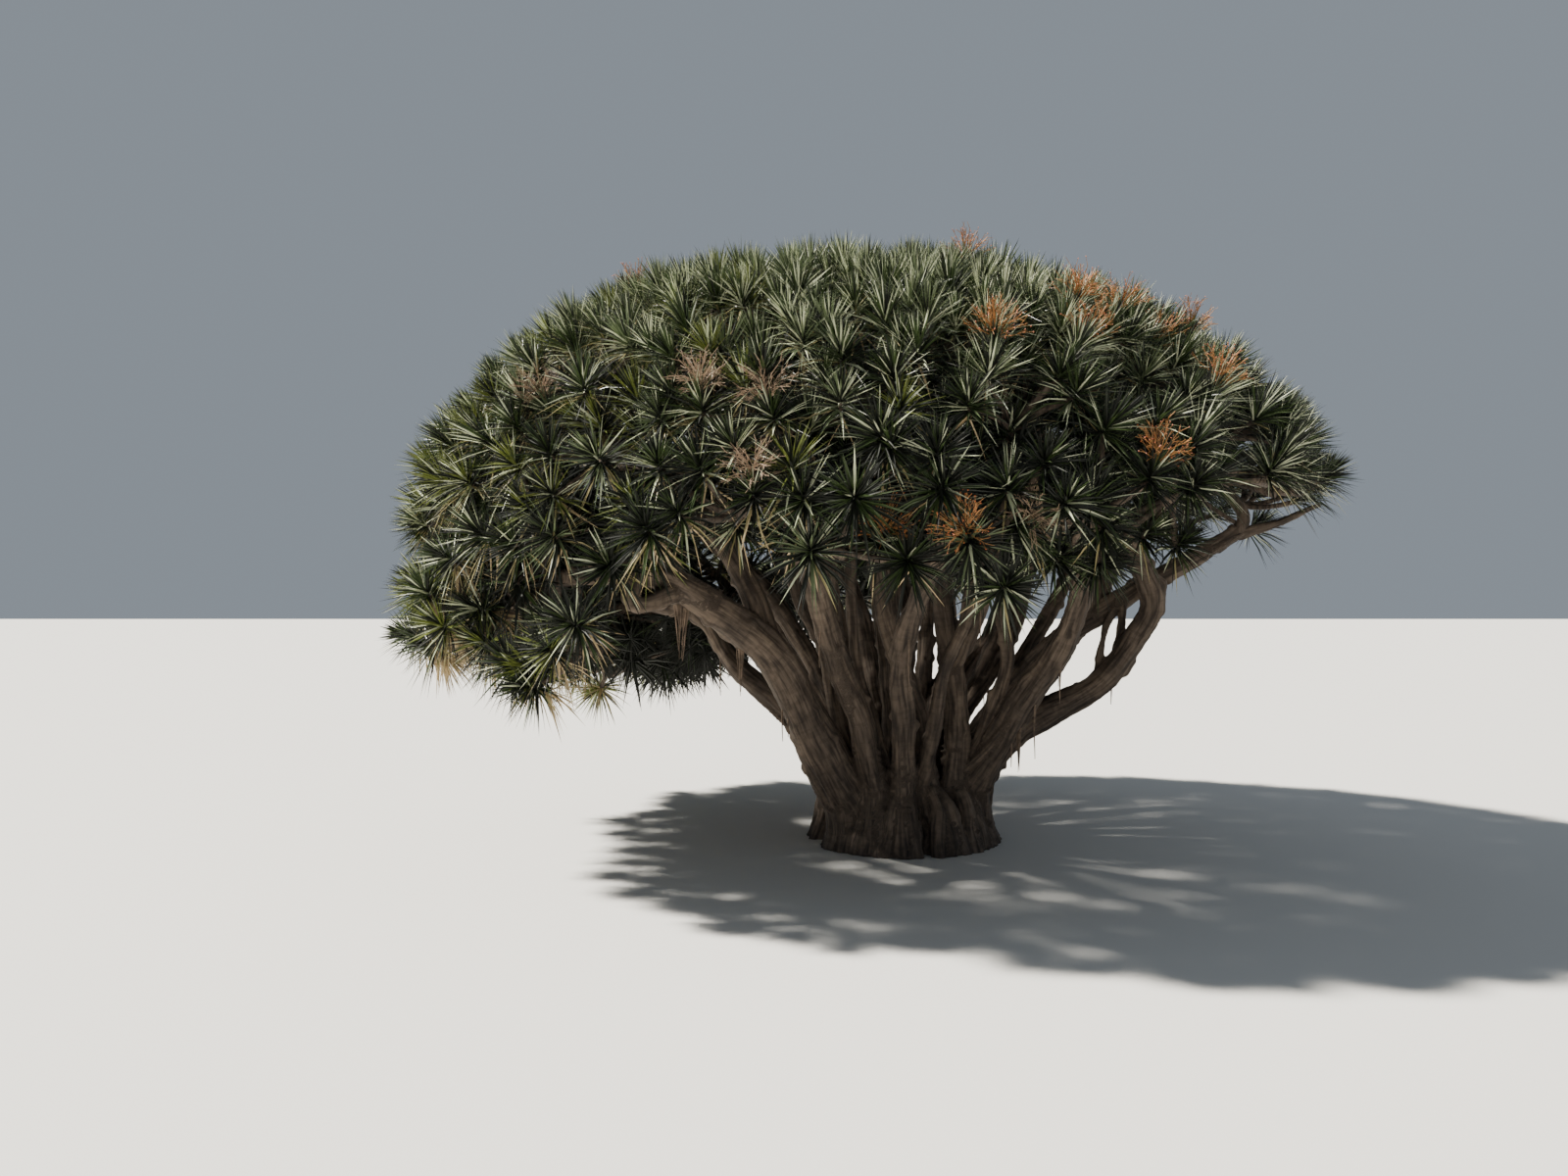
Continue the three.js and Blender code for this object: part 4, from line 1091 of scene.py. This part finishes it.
def build_dry_leaves():
    """Dead leaves that hang under the rosettes, thick at the crown's low left and none at its right."""
    shape = Shape()
    azimuth, elevation = angles(fine_directions)
    low = np.clip(1 - (elevation - rim_elevation(azimuth)) / SKIRT["highest"], 0, 1)
    near = np.exp(-(turn_between(azimuth, SKIRT["azimuth"]) / SKIRT["spread"]) ** 2)
    few = rng.integers(*SKIRT["few"], len(fine)) * (fine_directions[:, 0] < SKIRT["rightmost"])
    many = SKIRT["many"] * low * near * rng.uniform(*SKIRT["thickness"], len(fine))
    owner = np.repeat(np.arange(len(fine)), (few + many).astype(int))
    n, axes = len(owner), fine_axes[owner]
    turn = 2 * np.pi * rng.random(n)
    polar = np.radians(rng.uniform(*SKIRT["angles"], n))
    aim = unit(leaning(axes, polar, turn) - [0, 0, SKIRT["droop"]])
    side = unit(np.cross(aim, rng.standard_normal((n, 3))))
    base = fine[owner] - axes * rng.uniform(*SKIRT["depths"], (n, 1)) + aim * LEAF["out"]
    length = SKIRT["length"] * rng.uniform(*SKIRT["lengths"], n)
    half_width = SKIRT["half_width"] * rng.uniform(*LEAF["widths"], n)
    blades(shape, base, aim, side, length, half_width, rng.uniform(*SKIRT["sags"], n), np.zeros(n, int))
    made = shape.build("dry_leaves", [finishes["dry_leaf"]], False)
    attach(made, "root")


# Panicles: a branching head of stalks above a rosette, with berries while it is fresh.
def sticks(shape, start, end, thick, thin, tone):
    """Adds three-sided tapering sticks, all at once."""
    n = len(start)
    around = circle(np.arange(3) * 2 * np.pi / 3, *across_axes(unit(end - start)))
    points = np.concatenate([start[:, None] + around * thick, end[:, None] + around * thin], axis=1)
    first = np.arange(n)[:, None, None] * 6
    quads = (first + np.array([[0, 1, 4, 3], [1, 2, 5, 4], [2, 0, 3, 5]])).reshape(-1, 4)
    ends = (first + np.array([[2, 1, 0], [3, 4, 5]])).reshape(-1, 3)
    shape.add(points, quads, ends, tone)


def beads(shape, places, radius, tone):
    """Adds small eight-sided beads, all at once."""
    corners = np.concatenate([np.eye(3), -np.eye(3)])
    points = places[:, None] + corners * (radius * rng.uniform(0.7, 1.15, (len(places), 1, 1)))
    faces = [[x, y, z] if (x + y + z) % 2 else [x, z, y] for x in (0, 3) for y in (1, 4) for z in (2, 5)]
    shape.add(points, (), (np.arange(len(places))[:, None, None] * 6 + np.array(faces)).reshape(-1, 3), tone)


def sprung(axes, count, least, most):
    """Which axis each direction springs from, and the directions, at angles between two, in degrees."""
    owner = np.repeat(np.arange(len(axes)), count)
    turn = np.radians(np.tile(np.arange(count), len(axes)) * GOLDEN_ANGLE) + rng.uniform(0, 1, len(owner))
    polar = np.radians(rng.uniform(least, most, len(owner)))
    return owner, leaning(axes[owner], polar, turn)


def build_panicles(name, aims, materials, berried):
    """Panicles on the rosettes that lie nearest the given directions."""
    shape = Shape()
    chosen = [np.argmax(fine_directions @ direction(*map(float, aim))) for aim in aims]
    axes = unit(fine_axes[chosen] + [0, 0, PANICLE["raised"]])
    start = fine[chosen] + axes * PANICLE["base"]
    end = start + axes * PANICLE["stem"]
    sticks(shape, start, end, *PANICLE["stem_radii"], 0)
    owner, branch = sprung(axes, PANICLE["branches"], *PANICLE["branch_angles"])
    share = rng.uniform(*PANICLE["feet"], (len(owner), 1))
    foot = start[owner] + (end - start)[owner] * share
    half = PANICLE["branch"] / 2
    middle = foot + branch * half
    rise = PANICLE["fresh_rise"] if berried else PANICLE["faded_rise"]
    tip = middle + unit(branch + [0, 0, rise]) * half
    thick, thinner, thin = PANICLE["branch_radii"]
    sticks(shape, foot, middle, thick, thinner, 0)
    sticks(shape, middle, tip, thinner, thin, 0)
    twig, outward = sprung(unit(tip - foot), PANICLE["twiglets"], *PANICLE["twiglet_angles"])
    joint = foot[twig] + (tip - foot)[twig] * rng.uniform(*PANICLE["joints"], (len(twig), 1))
    ends = joint + outward * PANICLE["twiglet"] * rng.uniform(*PANICLE["twiglet_lengths"], (len(twig), 1))
    sticks(shape, joint, ends, *PANICLE["twiglet_radii"], 0)
    if berried:
        beads(shape, ends[rng.random(len(ends)) < PANICLE["berried"]], PANICLE["berry"], 1)
    made = shape.build(name, materials, False)
    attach(made, "root")


# Aerial roots: thin strands that hang together from a bough's underside, and single ones.
def hang(shape, line, length, number, radius, look):
    """Adds a strand along a line that falls from a limb, narrower and swaying more the lower it gets."""
    t = np.linspace(0, 1, HANGING["points"])
    sway = np.stack([along_noise(t * length, look["often"], number + axis) for axis in range(2)], axis=1)
    line[:, :2] += look["sway"] * sway * t[:, None]
    tube(shape, line, radius * (1 - look["narrowed"] * t), HANGING["sides"])


def build_aerial_roots():
    shape = Shape()
    t = np.linspace(0, 1, HANGING["points"])[:, None]
    for _, name, at, length, radius in AERIAL_ROOTS:
        line, top = limbs[name]["line"], point_on(name, at)
        sunk = STRANDS["sunk"] * limb_radius(limbs[name], at)
        here = round(at * LIMB["points"])
        along = unit(line[min(len(line) - 1, here + 5)] - line[here - 5])
        for strand in range(STRANDS["count"]):
            start = top + along * rng.uniform(-STRANDS["along"], STRANDS["along"]) * radius - [0, 0, sunk]
            start = start + [*rng.uniform(-STRANDS["around"], STRANDS["around"], 2) * radius, 0]
            reach = length * (1 if strand == 0 else rng.uniform(*STRANDS["lengths"]))
            hanging = top + (start - top) * (1 - STRANDS["gathered"] * t)
            hanging[:, 2:] = start[2] - t * (reach - sunk)
            thick = STRANDS["radius"] * rng.uniform(*STRANDS["radii"])
            hang(shape, hanging, reach, 7 * strand, thick, STRANDS)
    for name, at, length in SINGLE_ROOTS:
        top = point_on(name, at) - [0, 0, SINGLE["sunk"] * limb_radius(limbs[name], at)]
        hang(shape, top - [0, 0, 1] * t * length, length, round(97 * at), SINGLE["radius"], SINGLE)
    made = shape.build("aerial_roots", [finishes["root_bark"]], True)
    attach(made, "root")
    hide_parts(*(row[0] for row in AERIAL_ROOTS))


# Floor, light and camera.
def build_stage():
    bpy.ops.mesh.primitive_plane_add(size=FLOOR["size"], location=(0, 0, -FLOOR["below"]))
    floor = bpy.context.object
    floor.name = "floor"
    floor.data.materials.append(principled("floor", FLOOR["color"], FLOOR["roughness"]))
    world = bpy.context.scene.world or bpy.data.worlds.new("studio")
    bpy.context.scene.world = world
    world.use_nodes = True
    background = world.node_tree.nodes["Background"]
    background.inputs["Color"].default_value = SKY["color"]
    background.inputs["Strength"].default_value = SKY["strength"]
    sun = bpy.data.lights.new("key", "SUN")
    sun.energy = SUN["energy"]
    sun.angle = math.radians(SUN["angle"])
    sun.color = SUN["color"]
    lamp = bpy.data.objects.new("key", sun)
    lamp.rotation_euler = Vector(SUN["direction"]).to_track_quat("-Z", "Y").to_euler()
    bpy.context.scene.collection.objects.link(lamp)


def build_camera():
    data = bpy.data.cameras.new("camera")
    data.sensor_fit = "HORIZONTAL"
    data.angle = math.radians(CAMERA["width_angle"])
    data.clip_end = 400
    camera = bpy.data.objects.new("camera", data)
    camera.location = CAMERA["place"]
    camera.rotation_euler = (math.radians(90 - CAMERA["down"]), 0, 0)
    bpy.context.scene.collection.objects.link(camera)
    bpy.context.scene.camera = camera


build_wood()
build_branches()
build_leaves()
build_dry_leaves()
build_panicles("panicles", FRUITING, [finishes["panicle_stalk"], finishes["berry"]], True)
build_panicles("old_panicles", FADED, [finishes["faded_stalk"]], False)
build_aerial_roots()
build_stage()
build_camera()
